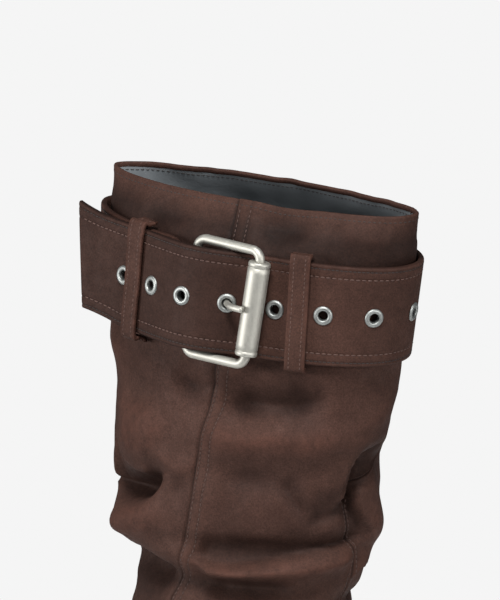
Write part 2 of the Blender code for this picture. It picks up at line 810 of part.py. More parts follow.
def build_buckle():
    """The buckle's frame, roller and prong."""
    straight = FRAME_HALF - FRAME_CORNER
    corners = (
        (FRAME_CORNER, straight, 0.0, 90.0),
        (HINGE_AT - FRAME_CORNER, straight, 90.0, 180.0),
        (HINGE_AT - FRAME_CORNER, -straight, 180.0, 270.0),
        (FRAME_CORNER, -straight, 270.0, 360.0),
    )
    path = []
    for along, up, start, end in corners:
        for step in range(6):
            angle = math.radians(mix(start, end, step / 5))
            place_along = along - FRAME_CORNER * math.cos(angle)
            place_up = up + FRAME_CORNER * math.sin(angle)
            path.append(buckle_place(place_along, place_up, 0.0))
    tube_along("buckle_frame", path, [WIRE_RADIUS] * len(path), 10, True)
    bottom = buckle_place(0.0, -ROLLER_LENGTH / 2, 0.0)
    top = buckle_place(0.0, ROLLER_LENGTH / 2, 0.0)
    axis = (top - bottom).normalized()
    side = axis.orthogonal().normalized()
    bore = WIRE_RADIUS + GAP
    half = ROLLER_LENGTH / 2
    profile = (
        (bore, -half),
        (bore, half),
        (ROLLER_RADIUS - ROLLER_CHAMFER, half),
        (ROLLER_RADIUS, half - ROLLER_CHAMFER),
        (ROLLER_RADIUS, ROLLER_CHAMFER - half),
        (ROLLER_RADIUS - ROLLER_CHAMFER, -half),
    )
    lathe("buckle_roller", (top + bottom) / 2, axis, side, profile, 20)
    build_prong()


def strap_height(arc):
    """How far the strap's middle stands out from the shaft, at a length from the roller."""
    return (strap_place(arc)[0] - on_shaft(arc, 0.0, 0.0)).length


def build_prong():
    """The prong: an eye round the hinge bar, up through its eyelet and on to the roller."""
    eye = WIRE_RADIUS + GAP * 0.6 + PRONG_EYE
    path = []
    radii = []
    for angle in range(-90, 151, 30):
        along = HINGE_AT + eye * math.cos(math.radians(angle))
        path.append((along, HINGE_OUT + eye * math.sin(math.radians(angle))))
        radii.append(PRONG_EYE)
    unit = PRONG_RADIUS
    hole = strap_height(PRONG_HOLE_AT)
    entry = PRONG_HOLE_AT + unit * 2.5
    middle = mix(entry, HINGE_AT - eye, 0.5)
    clear = STRAP / 2 + unit + GAP
    rest = ROLLER_OUT + ROLLER_RADIUS + unit
    path += [
        (HINGE_AT - eye - unit, HINGE_OUT + GAP),
        (middle, min(HINGE_OUT, strap_height(middle) - clear)),
        (entry, min(HINGE_OUT, strap_height(entry) - clear)),
        (PRONG_HOLE_AT + unit * 1.2, hole - unit * 1.5),
        (PRONG_HOLE_AT + unit * 0.5, hole - unit * 0.9),
        (PRONG_HOLE_AT, hole),
        (PRONG_HOLE_AT - unit * 0.5, hole + unit * 1.1),
        (PRONG_HOLE_AT - unit * 1.4, hole + unit * 2.2),
        (PRONG_HOLE_AT - unit * 3.0, rest - unit * 1.9),
        (unit * 4.2, rest - unit * 0.8),
        (unit * 2.8, rest - unit * 0.3),
        (unit * 1.4, rest),
    ]
    radii += [mix(PRONG_EYE, PRONG_RADIUS, 0.5)] + [PRONG_RADIUS] * 11
    places = [on_shaft(along, 0.0, out) for along, out in path]
    tube_along("buckle_prong", places, radii, 8, False)


def build_loops():
    """Four belt loops round the strap, sewn to the shaft above and below it."""
    two_ply_top = LAYER_TWO + STRAP / 2
    one_ply_top = LAYER_ONE + STRAP / 2
    loops = (
        ("loop_outer_front", HINGE_AT + TAIL_LENGTH * 0.475, two_ply_top, 0.0),
        ("loop_outer_back", -EYELET_PITCH * 0.87, one_ply_top, 0.10),
        ("loop_inner_front", GIRTH * 0.43, one_ply_top, 0.0),
        ("loop_inner_back", GIRTH * 0.72, one_ply_top, 0.0),
    )
    edge = BELT_WIDTH / 2
    for name, arc, covered, lean in loops:
        over = covered + EYELET_FLANGE + GAP + PLY / 2
        foot = GAP + PLY / 2
        path = (
            (-edge - LOOP_FOOT, foot),
            (-edge - LOOP_BEND - LOOP_FOOT / 4, foot),
            (-edge - LOOP_BEND, mix(foot, over, 0.45)),
            (-edge - LOOP_OVER, over),
            (0.0, over),
            (edge + LOOP_OVER, over),
            (edge + LOOP_BEND, mix(foot, over, 0.45)),
            (edge + LOOP_BEND + LOOP_OVER, foot),
            (edge + LOOP_TUCK, foot),
        )
        points = []
        for index, (up, out) in enumerate(path):
            across_up, across_out = path_normal(path, index)
            for side in (-0.5, 0.5):
                for beside in (-0.5, 0.0, 0.5):
                    shift = side * PLY
                    points.append(on_shaft(arc + lean * up + beside * LOOP_WIDTH,
                                           up + across_up * shift, out + across_out * shift))
        add_solid(name, points, band_faces(len(path)))


def main():
    """Build every piece."""
    for obj in list(bpy.data.objects):
        bpy.data.objects.remove(obj)
    build_upper()
    build_outsole()
    build_heel()
    build_insole()
    strap = build_strap()
    cut_holes(strap)
    build_eyelets()
    build_buckle()
    build_loops()


main()
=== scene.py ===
"""Looks of the slouch boot: fine leather, lining, belt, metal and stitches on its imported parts.

Places on the shaft are (turn, rise): turn 0 is the back, 0.25 the outer side, 0.5 the front.
Places on the belt are (arc, up, out): metres along it from the roller, up it and out of the shaft.
"""

import json
import math

import bpy
import numpy as np
from mathutils import Matrix, Vector, noise

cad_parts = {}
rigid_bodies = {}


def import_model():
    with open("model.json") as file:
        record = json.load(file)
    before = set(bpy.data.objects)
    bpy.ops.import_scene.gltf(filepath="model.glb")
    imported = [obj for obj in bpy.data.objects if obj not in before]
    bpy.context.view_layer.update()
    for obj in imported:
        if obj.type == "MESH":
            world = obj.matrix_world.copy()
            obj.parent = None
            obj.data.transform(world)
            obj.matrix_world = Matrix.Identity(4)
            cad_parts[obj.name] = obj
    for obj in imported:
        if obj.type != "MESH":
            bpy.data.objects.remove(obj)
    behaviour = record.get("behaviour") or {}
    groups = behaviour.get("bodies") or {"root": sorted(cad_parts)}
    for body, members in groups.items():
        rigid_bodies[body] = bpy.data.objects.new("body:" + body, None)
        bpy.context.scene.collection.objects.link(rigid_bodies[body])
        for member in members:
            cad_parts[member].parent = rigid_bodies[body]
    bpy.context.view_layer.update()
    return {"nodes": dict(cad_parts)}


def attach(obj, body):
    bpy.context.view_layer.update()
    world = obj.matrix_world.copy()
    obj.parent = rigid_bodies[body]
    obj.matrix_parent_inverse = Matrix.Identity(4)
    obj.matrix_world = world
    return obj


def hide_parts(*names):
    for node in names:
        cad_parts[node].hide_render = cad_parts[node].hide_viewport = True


SOLE_LENGTH = 0.260
BALL_WIDTH = 0.090
COLLAR_HEIGHT = 0.400
HEEL_SEAT = 0.036
SOLE_THICK = 0.0045
TOE_IN = 0.006
WALL = 0.002
GAP = 0.0004
UPPER_HEIGHT = COLLAR_HEIGHT - HEEL_SEAT - SOLE_THICK
SHAFT_SPAN = UPPER_HEIGHT * 1.38
BACK_X = SOLE_LENGTH * 0.225 / 2

BELT_WIDTH = 0.0525
BELT_UNDER_RIM = 0.0220
BELT_CLIMB = 0.0042
STRAP = 0.0030
PLY = 0.0018
TONGUE = 0.013
TAIL_LENGTH = 0.074
TAIL_SLANT = 0.0085
TAIL_TAPER = 0.0040
TAIL_CURL = 0.0036
LOOP_WIDTH = 0.0100
LOOP_FOOT = 0.0048
LOOP_TUCK = 0.0036
LOOP_BEND = 0.0022
LOOP_OVER = 0.0006
LOOP_CLEAR = 0.0006

ROLLER_TURN = 0.196
HINGE_AT = 0.0360
WIRE_RADIUS = 0.0024
FRAME_CORNER = 0.0050
FRAME_HALF = BELT_WIDTH / 2 + WIRE_RADIUS + 1.5 * GAP
ROLLER_RADIUS = 0.0056
ROLLER_LENGTH = 2 * (FRAME_HALF - FRAME_CORNER)
PRONG_HOLE_AT = HINGE_AT * 0.42
PRONG_RADIUS = 0.0017
PRONG_EYE = 0.00075

EYELET_PITCH = 0.0242
TAIL_PITCH = 0.0215
EYELETS_TO_TAIL = 3
EYELETS_ROUND = 13
EYELET_RADIUS = 0.0049
EYELET_BORE = 0.0025
RING_STEPS = 36
ROLLER_STEPS = 48
WIRE_STEPS = 28
PRONG_STEPS = 18
LOOP_STEPS = 8

MM = 0.001
SHAFT_GIRTH = 0.42
FADE_LENGTH = 0.006
CREASE_HALF = 0.006
STITCH_LIFT = 0.0001
RIM_ROUND = 0.0008
# Fold height where ridges start to be rubbed red and hollows start to get painted shade, and the height
# over which both grow.
WEAR_AND_SHADE_FROM = 0.0008
WEAR_AND_SHADE_SPAN = 0.0080
UPPER_COLUMNS = 290
UPPER_LEVELS = 262
LINING_COLUMNS = 150
RIM_PLACES = 500

# The photo's view in degrees, metres for one pixel, and a place on the collar with its pixel
VIEW_YAW = 33.0
VIEW_DOWN = 12.7
PIXEL = 0.0005
PICTURE = (500, 600)
KNOWN_PLACE = ((-0.0168, 0.0, 0.400), 267, 190)

# rise, back, back lift, front, front lift, foot, foot scale, half width
UPPER_ROWS = (
    (0, 0.017, 0, 0.991, 0, 1, 0.97, 0.4),
    (0.03, 0.007, 0.019, 1.004, 0.015, 1, 1.02, 0.4),
    (0.08, 0.002, 0.049, 1.004, 0.042, 1, 1.05, 0.4),
    (0.13, 0.005, 0.079, 0.975, 0.079, 1, 1.03, 0.4),
    (0.18, 0.015, 0.11, 0.915, 0.119, 0.95, 0.97, 0.4),
    (0.23, 0.025, 0.144, 0.825, 0.155, 0.85, 0.93, 0.4),
    (0.28, 0.031, 0.18, 0.72, 0.196, 0.65, 0.9, 0.41),
    (0.33, 0.032, 0.216, 0.625, 0.245, 0.4, 0.9, 0.42),
    (0.38, 0.029, 0.255, 0.557, 0.295, 0.2, 0.9, 0.44),
    (0.44, 0.02, 0.3, 0.51, 0.35, 0.05, 0.9, 0.47),
    (0.5, 0.009, 0.345, 0.48, 0.402, 0, 0.9, 0.49),
    (0.6, -0.012, 0.452, 0.474, 0.528, 0, 0.9, 0.52),
    (0.7, -0.057, 0.586, 0.506, 0.672, 0, 0.9, 0.55),
    (0.8, -0.088, 0.716, 0.504, 0.812, 0, 0.9, 0.51),
    (0.85, -0.112, 0.783, 0.52, 0.885, 0, 0.9, 0.505),
    (0.9, -0.13, 0.85, 0.529, 0.958, 0, 0.9, 0.49),
    (0.95, -0.146, 0.919, 0.526, 1.028, 0, 0.9, 0.455),
    (1, -0.166, 0.993, 0.525, 1.094, 0, 0.9, 0.295),
)
# along the sole, outer half width, inner half width
OUTLINE_ROWS = (
    (0, 0.66, 0.66),
    (0.05, 0.61, 0.61),
    (0.12, 0.51, 0.51),
    (0.25, 0.39, 0.37),
    (0.4, 0.35, 0.27),
    (0.55, 0.43, 0.37),
    (0.67, 0.495, 0.515),
    (0.78, 0.5, 0.53),
    (0.88, 0.49, 0.47),
    (0.96, 0.49, 0.43),
    (1, 0.5, 0.42),
)
# along the sole, height of the underside
SOLE_ROWS = (
    (0, 1),
    (0.2, 0.95),
    (0.32, 0.75),
    (0.44, 0.38),
    (0.54, 0.1),
    (0.61, 0),
    (0.78, 0),
    (0.88, 0.07),
    (1, 0.26),
)
# Soft folds: turn, rise, half turn, half rise, tilt, out, down
FOLD_ROWS = (
    (0.177, 0.798, 0.08, 0.022, 0, -0.025, 0),
    (0.14, 0.762, 0.12, 0.018, 0.05, 0.025, 0),
    (0.18, 0.727, 0.08, 0.015, 0, -0.03, 0),
    (0.35, 0.745, 0.06, 0.022, -0.2, 0.035, 0.02),
    (0.35, 0.691, 0.07, 0.014, -0.15, -0.095, 0),
    (0.39, 0.658, 0.085, 0.018, -0.05, 0.055, 0.04),
    (0.38, 0.607, 0.11, 0.016, 0.05, -0.09, 0),
    (0, 0.795, 0.08, 0.025, -0.2, 0.022, 0.03),
    (0, 0.74, 0.07, 0.016, 0.1, -0.065, 0),
    (0, 0.7, 0.06, 0.02, 0.25, -0.005, 0),
    (0, 0.722, 0.06, 0.014, 0, -0.02, 0),
    (0.96, 0.668, 0.09, 0.024, 0.1, 0.055, 0.03),
    (0.085, 0.69, 0.035, 0.02, -0.5, -0.035, 0),
    (0.19, 0.65, 0.07, 0.01, 0, -0.045, 0),
    (0.19, 0.634, 0.09, 0.012, 0, 0.03, 0.02),
    (0.21, 0.606, 0.12, 0.014, 0.05, -0.05, 0),
    (0.97, 0.584, 0.09, 0.013, 0, -0.075, 0),
    (0.4, 0.575, 0.12, 0.022, 0.05, -0.04, 0),
    (0.4, 0.83, 0.09, 0.03, 0, 0.025, 0),
    (0.1, 0.575, 0.14, 0.018, -0.05, 0.04, 0.04),
    (0.47, 0.535, 0.12, 0.014, 0, -0.06, 0),
    (0.15, 0.53, 0.13, 0.014, 0.05, -0.045, 0),
    (0.56, 0.495, 0.18, 0.018, 0, 0.045, 0.04),
    (0.06, 0.49, 0.13, 0.016, 0, 0.035, 0.03),
    (0.45, 0.45, 0.14, 0.014, 0, -0.045, 0),
    (0, 0.44, 0.11, 0.014, 0, -0.03, 0),
    (0.52, 0.405, 0.12, 0.016, 0, 0.028, 0.02),
    (0.5, 0.365, 0.1, 0.013, 0, -0.025, 0),
    (0.7, 0.735, 0.11, 0.018, 0.05, -0.045, 0),
    (0.72, 0.69, 0.12, 0.018, 0.05, 0.04, 0.04),
    (0.68, 0.64, 0.12, 0.016, -0.05, -0.055, 0),
    (0.74, 0.59, 0.12, 0.018, 0, 0.04, 0.04),
    (0.74, 0.545, 0.11, 0.014, 0, -0.045, 0),
)
# Creases out of the picture: turn, rise, half turn, tilt, depth in millimetres
CREASE_ROWS = (
    (0.55, 0.7, 0.08, 0.1, 1.8),
    (0.62, 0.65, 0.08, -0.1, 1.8),
    (0.8, 0.7, 0.08, 0.1, 1.8),
    (0.86, 0.64, 0.08, -0.1, 1.6),
    (0.7, 0.6, 0.09, 0.05, 1.5),
    (0.45, 0.545, 0.09, 0, 1.5),
    (0.05, 0.54, 0.08, 0, 1.4),
    (0.4, 0.47, 0.09, 0.05, 1.2),
    (0.15, 0.46, 0.09, -0.05, 1.1),
)
# Troughs and ridges in the picture: height, width above and below in millimetres, then pixels
STROKES = (
    (-11, 13, 2.4, ((112, 484), (119, 489), (130, 493), (142, 490), (150, 481), (148, 467), (140, 452))),
    (-6, 14, 2, ((96, 474), (108, 479), (120, 484), (132, 488))),
    (5.5, 2.6, 9, ((110, 499), (125, 501), (143, 498), (159, 490), (177, 481))),
    (-9, 2.6, 16, ((106, 528), (120, 540), (138, 553), (156, 566), (174, 578))),
    (3.6, 9, 12, ((116, 396), (140, 410), (172, 432))),
    (-2.4, 8, 12, ((134, 562), (150, 574), (168, 592))),
    (4, 5, 7, ((150, 446), (166, 458), (182, 466), (200, 470))),
    (-4, 7, 7, ((172, 372), (188, 382), (202, 400))),
    (-5.6, 9, 9, ((212, 408), (250, 405), (290, 408), (340, 396))),
    (3.4, 9, 12, ((200, 444), (250, 431), (300, 428), (360, 440))),
    (-3.4, 9, 9, ((212, 480), (250, 486), (292, 478))),
    (-4.2, 6, 4, ((278, 478), (293, 498), (310, 522))),
    (-3.2, 5, 4, ((304, 524), (330, 517), (352, 506))),
    (-6.4, 9, 1.6, ((191, 546), (203, 554), (228, 559), (275, 557), (319, 551), (351, 541), (368, 524))),
    (4.6, 3, 7, ((198, 562), (230, 567), (275, 566), (322, 561), (356, 549))),
    (-4, 7, 7, ((200, 588), (250, 592), (300, 588))),
    (-12, 1.8, 9, ((388, 438), (377, 451), (365, 466), (356, 482), (353, 499), (359, 518), (370, 538))),
    (3.6, 8, 2.4, ((374, 438), (359, 455), (347, 472), (340, 490), (340, 506))),
    (-10, 2.4, 14, ((386, 567), (374, 580), (362, 591), (352, 602))),
    (-2.4, 12, 12, ((386, 440), (388, 480), (388, 525))),
    (3.4, 8, 3, ((370, 546), (357, 564), (344, 580))),
    (-2.6, 7, 5, ((138, 206), (165, 213), (194, 224))),
    (-4.5, 9, 6, ((250, 218), (282, 227), (316, 238))),
    (1.8, 6, 6, ((330, 228), (365, 238), (400, 240))),
    (-1.6, 5, 5, ((205, 378), (212, 384), (222, 388))),
    (-2, 6, 6, ((360, 372), (372, 384), (384, 400))),
)
# Side seam and back seam: rise, turn
SIDE_SEAM = (
    (0, 0.245),
    (0.3, 0.275),
    (0.5, 0.303),
    (0.55, 0.296),
    (0.6, 0.278),
    (0.64, 0.264),
    (0.68, 0.253),
    (0.74, 0.249),
    (0.8, 0.241),
    (0.9, 0.232),
    (1, 0.247),
)
BACK_SEAM = (
    (0, 0),
    (0.55, 0),
    (0.6, 0.006),
    (0.64, 0.012),
    (0.68, 0.03),
    (0.705, 0.034),
    (0.745, -0.085),
    (0.8, -0.09),
    (1, -0.07),
)


def read(rows, column, place):
    """Read a table column smoothly at places between its rows."""
    table = np.array(rows, float)
    knots = table[:, 0]
    values = table[:, column]
    run = np.diff(knots)
    rise = np.diff(values) / run
    slope = np.zeros_like(values)
    slope[0] = rise[0]
    slope[-1] = rise[-1]
    for index in range(1, len(values) - 1):
        before = rise[index - 1]
        after = rise[index]
        if before * after > 0:
            near = 2 * run[index] + run[index - 1]
            far = run[index] + 2 * run[index - 1]
            slope[index] = (near + far) / (near / before + far / after)
    place = np.clip(np.asarray(place, float), knots[0], knots[-1])
    index = np.clip(np.searchsorted(knots, place, side="right") - 1, 0, len(run) - 1)
    part = (place - knots[index]) / run[index]
    square = part * part
    cube = square * part
    return ((2 * cube - 3 * square + 1) * values[index]
            + (cube - 2 * square + part) * slope[index] * run[index]
            + (3 * square - 2 * cube) * values[index + 1]
            + (cube - square) * slope[index + 1] * run[index])


def mix(start, end, part):
    """Blend two numbers or arrays."""
    return start + (end - start) * part


def bell(away, width):
    """A soft bump by the distance from its middle."""
    return np.exp(-(away / width) ** 2)


def wrapped(turn):
    """A difference of turns from -0.5 to 0.5."""
    return (turn + 0.5) % 1.0 - 0.5


def unit(vectors):
    """Vectors of length one."""
    return vectors / np.maximum(np.linalg.norm(vectors, axis=-1, keepdims=True), 1e-12)


def sole_top(x):
    """Height of the outsole's upper face at x."""
    return HEEL_SEAT * read(SOLE_ROWS, 1, (BACK_X - x) / SOLE_LENGTH) + SOLE_THICK


def smooth_upper(turn, rise):
    """Outer face of the upper before its folds."""
    turn, rise = np.broadcast_arrays(np.asarray(turn, float), np.asarray(rise, float))
    angle = 2 * math.pi * turn
    along = (1 - np.cos(angle)) / 2
    outer = np.sin(angle) >= 0
    back_x = BACK_X - read(UPPER_ROWS, 1, rise) * SOLE_LENGTH
    front_x = BACK_X - read(UPPER_ROWS, 3, rise) * SOLE_LENGTH
    x = mix(back_x, front_x, along)
    back_lift = read(UPPER_ROWS, 2, rise) * UPPER_HEIGHT
    front_lift = read(UPPER_ROWS, 4, rise) * UPPER_HEIGHT
    level_z = mix(sole_top(back_x) + back_lift, sole_top(front_x) + front_lift, along)
    lift = mix(back_lift, front_lift, along)
    follow = np.maximum(0.0, 1 - rise / 0.20) ** 1.5
    z = mix(level_z, sole_top(x) + np.maximum(lift, GAP), follow)
    closing = 2 * np.sqrt(np.maximum(along * (1 - along), 0))
    side = np.where(outer, read(OUTLINE_ROWS, 1, along), read(OUTLINE_ROWS, 2, along))
    foot_half = BALL_WIDTH * closing * side * read(UPPER_ROWS, 6, rise)
    pinch = 0.94 + 0.22 * along * along
    shaft_half = BALL_WIDTH * read(UPPER_ROWS, 7, rise) * np.abs(np.sin(angle)) ** pinch
    foot = read(UPPER_ROWS, 5, rise)
    half = mix(shaft_half, foot_half, foot)
    centre = TOE_IN * np.maximum(0.0, (along - 0.5) * 2) ** 2
    y = np.where(outer, -half, half) + centre * foot
    return np.stack((x, y, z), axis=-1)


def outward(turn, rise):
    """Direction straight out of the smooth shaft."""
    step = 0.002
    turn = np.asarray(turn, float)
    rise = np.asarray(rise, float)
    across = smooth_upper(turn + step, rise) - smooth_upper(turn - step, rise)
    low = np.maximum(rise - step, 0.0)
    high = np.minimum(rise + step, 1.0)
    return unit(np.cross(smooth_upper(turn, high) - smooth_upper(turn, low), across))


def picture_axes():
    """Right, up and back directions of the photo's view, and the middle of its picture."""
    yaw = math.radians(VIEW_YAW)
    down = math.radians(VIEW_DOWN)
    right = Vector((math.cos(yaw), math.sin(yaw), 0.0))
    back = Vector((math.sin(yaw) * math.cos(down), -math.cos(yaw) * math.cos(down),
                   math.sin(down)))
    up = back.cross(right)
    known, pixel_right, pixel_down = KNOWN_PLACE
    centre = (Vector(known) - right * (pixel_right - PICTURE[0] / 2) * PIXEL
              - up * (PICTURE[1] / 2 - pixel_down) * PIXEL)
    return right, up, back, centre


def picture_map():
    """Places in the picture, turns and rises of a net over the side of the shaft that it shows."""
    right, up, back, centre = picture_axes()
    turn, rise = np.meshgrid(np.linspace(-0.10, 0.46, 225), np.linspace(0.45, 1.0, 276))
    places = smooth_upper(turn, rise)
    away = places - np.array(centre)
    across = away @ np.array(right) / PIXEL + PICTURE[0] / 2
    below = PICTURE[1] / 2 - away @ np.array(up) / PIXEL
    seen = outward(turn, rise) @ np.array(back) > 0
    return across[seen], below[seen], turn[seen], rise[seen]


def on_leather(pixels, net):
    """Places on the shaft, in metres round it and up it, under places in the picture."""
    across, below, turn, rise = net
    places = []
    for pixel_right, pixel_down in pixels:
        index = np.argmin((across - pixel_right) ** 2 + (below - pixel_down) ** 2)
        places.append((turn[index] * SHAFT_GIRTH, rise[index] * SHAFT_SPAN))
    return rounded(places, 6)


def stroke_shift(turn, rise):
    """How far the picture's troughs and ridges move the leather: out of the shaft and down."""
    net = picture_map()
    around = ((turn + 0.4) % 1.0 - 0.4) * SHAFT_GIRTH
    above = rise * SHAFT_SPAN
    out = np.zeros_like(turn)
    down = np.zeros_like(turn)
    for height, upper_width, lower_width, pixels in STROKES:
        line = on_leather(pixels, net)
        best = np.full(turn.shape, 1e9)
        side = np.zeros_like(turn)
        share = np.zeros_like(turn)
        count = len(line) - 1
        for index in range(count):
            start, end = line[index], line[index + 1]
            run = end - start
            length = max(run @ run, 1e-12)
            part = np.clip(((around - start[0]) * run[0] + (above - start[1]) * run[1]) / length, 0, 1)
            off_round = around - start[0] - part * run[0]
            off_up = above - start[1] - part * run[1]
            away = off_round ** 2 + off_up ** 2
            nearer = away < best
            best = np.where(nearer, away, best)
            side = np.where(nearer, off_up + off_round * 0.35, side)
            share = np.where(nearer, (index + part) / count, share)
        away = np.sqrt(best) / MM
        upper = 0.5 + 0.5 * np.tanh(side / (1.2 * MM))
        width = mix(lower_width, upper_width, upper)
        whole = max(np.linalg.norm(line[-1] - line[0]), FADE_LENGTH)
        ends = min(0.45, max(FADE_LENGTH, 2.0 * max(upper_width, lower_width) * MM) / whole)
        fade = np.clip(np.minimum(share, 1 - share) / ends, 0, 1)
        fade = fade * fade * (3 - 2 * fade)
        push = height * fade * np.exp(-(away / width) ** 1.7) * MM
        out += push
        down += np.where(push > 0, 0.35 * push, -0.22 * push * upper)
    return out, down


def fold_shift(turn, rise):
    """How far the folds and creases move the leather: out of the shaft and down it."""
    out = np.zeros_like(turn)
    down = np.zeros_like(turn)
    for at, height, half_turn, half_rise, tilt, push, drop in FOLD_ROWS:
        beside = wrapped(turn - at)
        above = rise - height - tilt * beside
        share = np.exp(-(beside / half_turn) ** 2 - (above / half_rise) ** 2)
        out += push * share * BALL_WIDTH
        down += drop * share * BALL_WIDTH
    for at, height, half_turn, tilt, depth in CREASE_ROWS:
        beside = wrapped(turn - at)
        above = (rise - height - tilt * beside) / CREASE_HALF
        ends = np.exp(-(beside / half_turn) ** 4)
        share = ends / (1 + above ** 2) ** 1.5
        lip = ends * np.exp(-(above - 2.2) ** 2)
        out += (-depth * share + 0.35 * depth * lip) * MM
        down += 0.30 * depth * lip * MM
    pushed, sagged = stroke_shift(turn, rise)
    return out + pushed, down + sagged


def seam_distances(turn, rise):
    """Millimetres round the shaft from the side seam's fold and from the back seam."""
    side = (read(SIDE_SEAM, 1, rise) - turn) * SHAFT_GIRTH / MM
    back = wrapped(read(BACK_SEAM, 1, rise) - turn) * SHAFT_GIRTH / MM
    return side, back


def seam_steps(turn, rise):
    """Raised laps along the two seams."""
    side, back = seam_distances(turn, rise)
    lap = np.clip(side / 0.6, 0, 1) * np.clip(1 - (side - 7) / 10, 0, 1)
    tuck = bell(side + 0.5, 0.9)
    groove = bell(side - 1.6, 0.5) + bell(side - 6.2, 0.6)
    valley = bell(back, 0.5)
    raised = bell(np.abs(back) - 2.2, 1.8)
    return (1.4 * lap - 0.7 * tuck - 0.30 * groove - 0.5 * valley + 0.35 * raised) * MM


def seam_shade(turn, rise):
    """How much painted shade darkens the leather in the seams, their stitch rows and on the collar above
    the belt, 0 to 1.
    """
    side, back = seam_distances(turn, rise)
    # Painted shade in the side seam's fold and the back seam's valley.
    shade = 0.9 * bell(side + 0.35, 0.55) + 0.8 * bell(back, 0.5)
    rows = bell(side - 1.6, 0.5) + bell(side - 6.2, 0.6)
    # Painted shade on the collar above the belt.
    collar = np.clip((rise - 0.93) / 0.02, 0, 1) * np.clip((0.995 - rise) / 0.02, 0, 1)
    return shade + 0.35 * rows + 0.80 * collar


def ripple(points, size, depth, seed):
    """Soft seeded unevenness."""
    flat = points.reshape(-1, 3)
    shift = Vector((seed * 7.3, seed * 3.1, seed * 5.7))
    values = [noise.noise(Vector(point) / size + shift) for point in flat]
    return np.array(values).reshape(points.shape[:-1]) * depth


def upper_face(turn, rise, seams=True):
    """Outer face of the leather with folds, creases and laps."""
    place = smooth_upper(turn, rise)
    out, down = fold_shift(turn, rise)
    under_belt = np.clip((rise - 0.83) / 0.03, 0, 1) * np.clip((0.955 - rise) / 0.02, 0, 1)
    out = out + ripple(place, 0.020, 0.0011, 1) + ripple(place, 0.008, 0.0004, 2)
    if seams:
        out = out + seam_steps(turn, rise)
    out = np.where(under_belt > 0, np.minimum(out, mix(out, -0.0002, under_belt)), out)
    # Fold height: its ridges are rubbed red and its hollows get painted shade.
    wear = out.copy()
    foot = np.clip(rise / 0.12, 0, 1)
    place = place + outward(turn, rise) * (out * foot)[..., None]
    place[..., 2] -= down * foot
    return place, wear


def make(name, points, faces, material, smooth=True, fields=None):
    """One mesh piece riding on the boot."""
    mesh = bpy.data.meshes.new(name)
    mesh.from_pydata(np.asarray(points, float).reshape(-1, 3).tolist(), [], faces)
    mesh.validate()
    if smooth:
        mesh.shade_smooth()
    for field, values in (fields or {}).items():
        layer = mesh.attributes.new(field, "FLOAT", "POINT")
        layer.data.foreach_set("value", np.asarray(values, np.float32).ravel())
    obj = bpy.data.objects.new(name, mesh)
    bpy.context.scene.collection.objects.link(obj)
    mesh.materials.append(material)
    return obj


def grid_faces(rows, columns, wrap, closed=False):
    """Faces of a grid of points, wrapped round its columns and closed from last row to first."""
    faces = []
    for row in range(rows if closed else rows - 1):
        here = row * columns
        after = (row + 1) % rows * columns
        for column in range(columns if wrap else columns - 1):
            beside = (column + 1) % columns
            faces.append((here + column, here + beside, after + beside, after + column))
    return faces


def end_faces(rows, columns):
    """Faces that close the first and the last row of a wrapped grid."""
    last = (rows - 1) * columns
    return [tuple(range(columns)), tuple(range(last + columns - 1, last - 1, -1))]


def rod_faces(rows, columns):
    """Faces of a rod with both ends closed."""
    return grid_faces(rows, columns, True) + [face[::-1] for face in end_faces(rows, columns)]


class Paint:
    """Short way to wire a material's nodes."""

    def __init__(self, name):
        self.material = bpy.data.materials.new(name)
        self.material.use_nodes = True
        self.tree = self.material.node_tree
        self.shader = self.tree.nodes["Principled BSDF"]
        self.place = self.tree.nodes.new("ShaderNodeTexCoord").outputs["Object"]

    def put(self, node, values):
        """Set or link inputs of a node, given by name or number."""
        for name, value in values.items():
            target = node.inputs[name.replace("_", " ") if isinstance(name, str) else name]
            if isinstance(value, bpy.types.NodeSocket):
                self.tree.links.new(value, target)
            else:
                target.default_value = value

    def node(self, kind, **values):
        """Add a node and set its inputs, given by name."""
        node = self.tree.nodes.new(kind)
        self.put(node, values)
        return node

    def noise(self, scale, detail=4.0, roughness=0.6, stretch=None):
        """Noise by a scale per metre."""
        where = self.place
        if stretch:
            where = self.node("ShaderNodeMapping", Vector=self.place, Scale=stretch).outputs[0]
        return self.node("ShaderNodeTexNoise", Vector=where, Scale=scale, Detail=detail,
                         Roughness=roughness).outputs["Fac"]

    def ramp(self, value, stops):
        """Greys by a value."""
        node = self.node("ShaderNodeValToRGB", Fac=value)
        for stop, (place, grey) in zip(node.color_ramp.elements, stops):
            stop.position = place
            stop.color = (grey, grey, grey, 1.0)
        return node.outputs["Color"]

    def blend(self, amount, first, second, kind="MIX"):
        """Blend two colours."""
        node = self.tree.nodes.new("ShaderNodeMix")
        node.data_type = "RGBA"
        node.blend_type = kind
        colours = [(*value, 1.0) if isinstance(value, tuple) else value
                   for value in (first, second)]
        self.put(node, {0: amount, 6: colours[0], 7: colours[1]})
        return node.outputs[2]

    def product(self, first, second):
        """Multiply two values."""
        node = self.tree.nodes.new("ShaderNodeMath")
        node.operation = "MULTIPLY"
        self.put(node, {0: first, 1: second})
        return node.outputs[0]

    def field(self, name):
        """A value stored on the mesh."""
        node = self.tree.nodes.new("ShaderNodeAttribute")
        node.attribute_name = name
        return node.outputs["Fac"]

    def bump(self, value, distance, strength=1.0, after=None):
        """Bump on top of an earlier bump."""
        node = self.node("ShaderNodeBump", Height=value, Distance=distance, Strength=strength)
        if after:
            self.put(node, {"Normal": after})
        return node.outputs["Normal"]

    def finish(self, **values):
        """Set the shader's inputs, given by name."""
        self.put(self.shader, values)
        return self.material


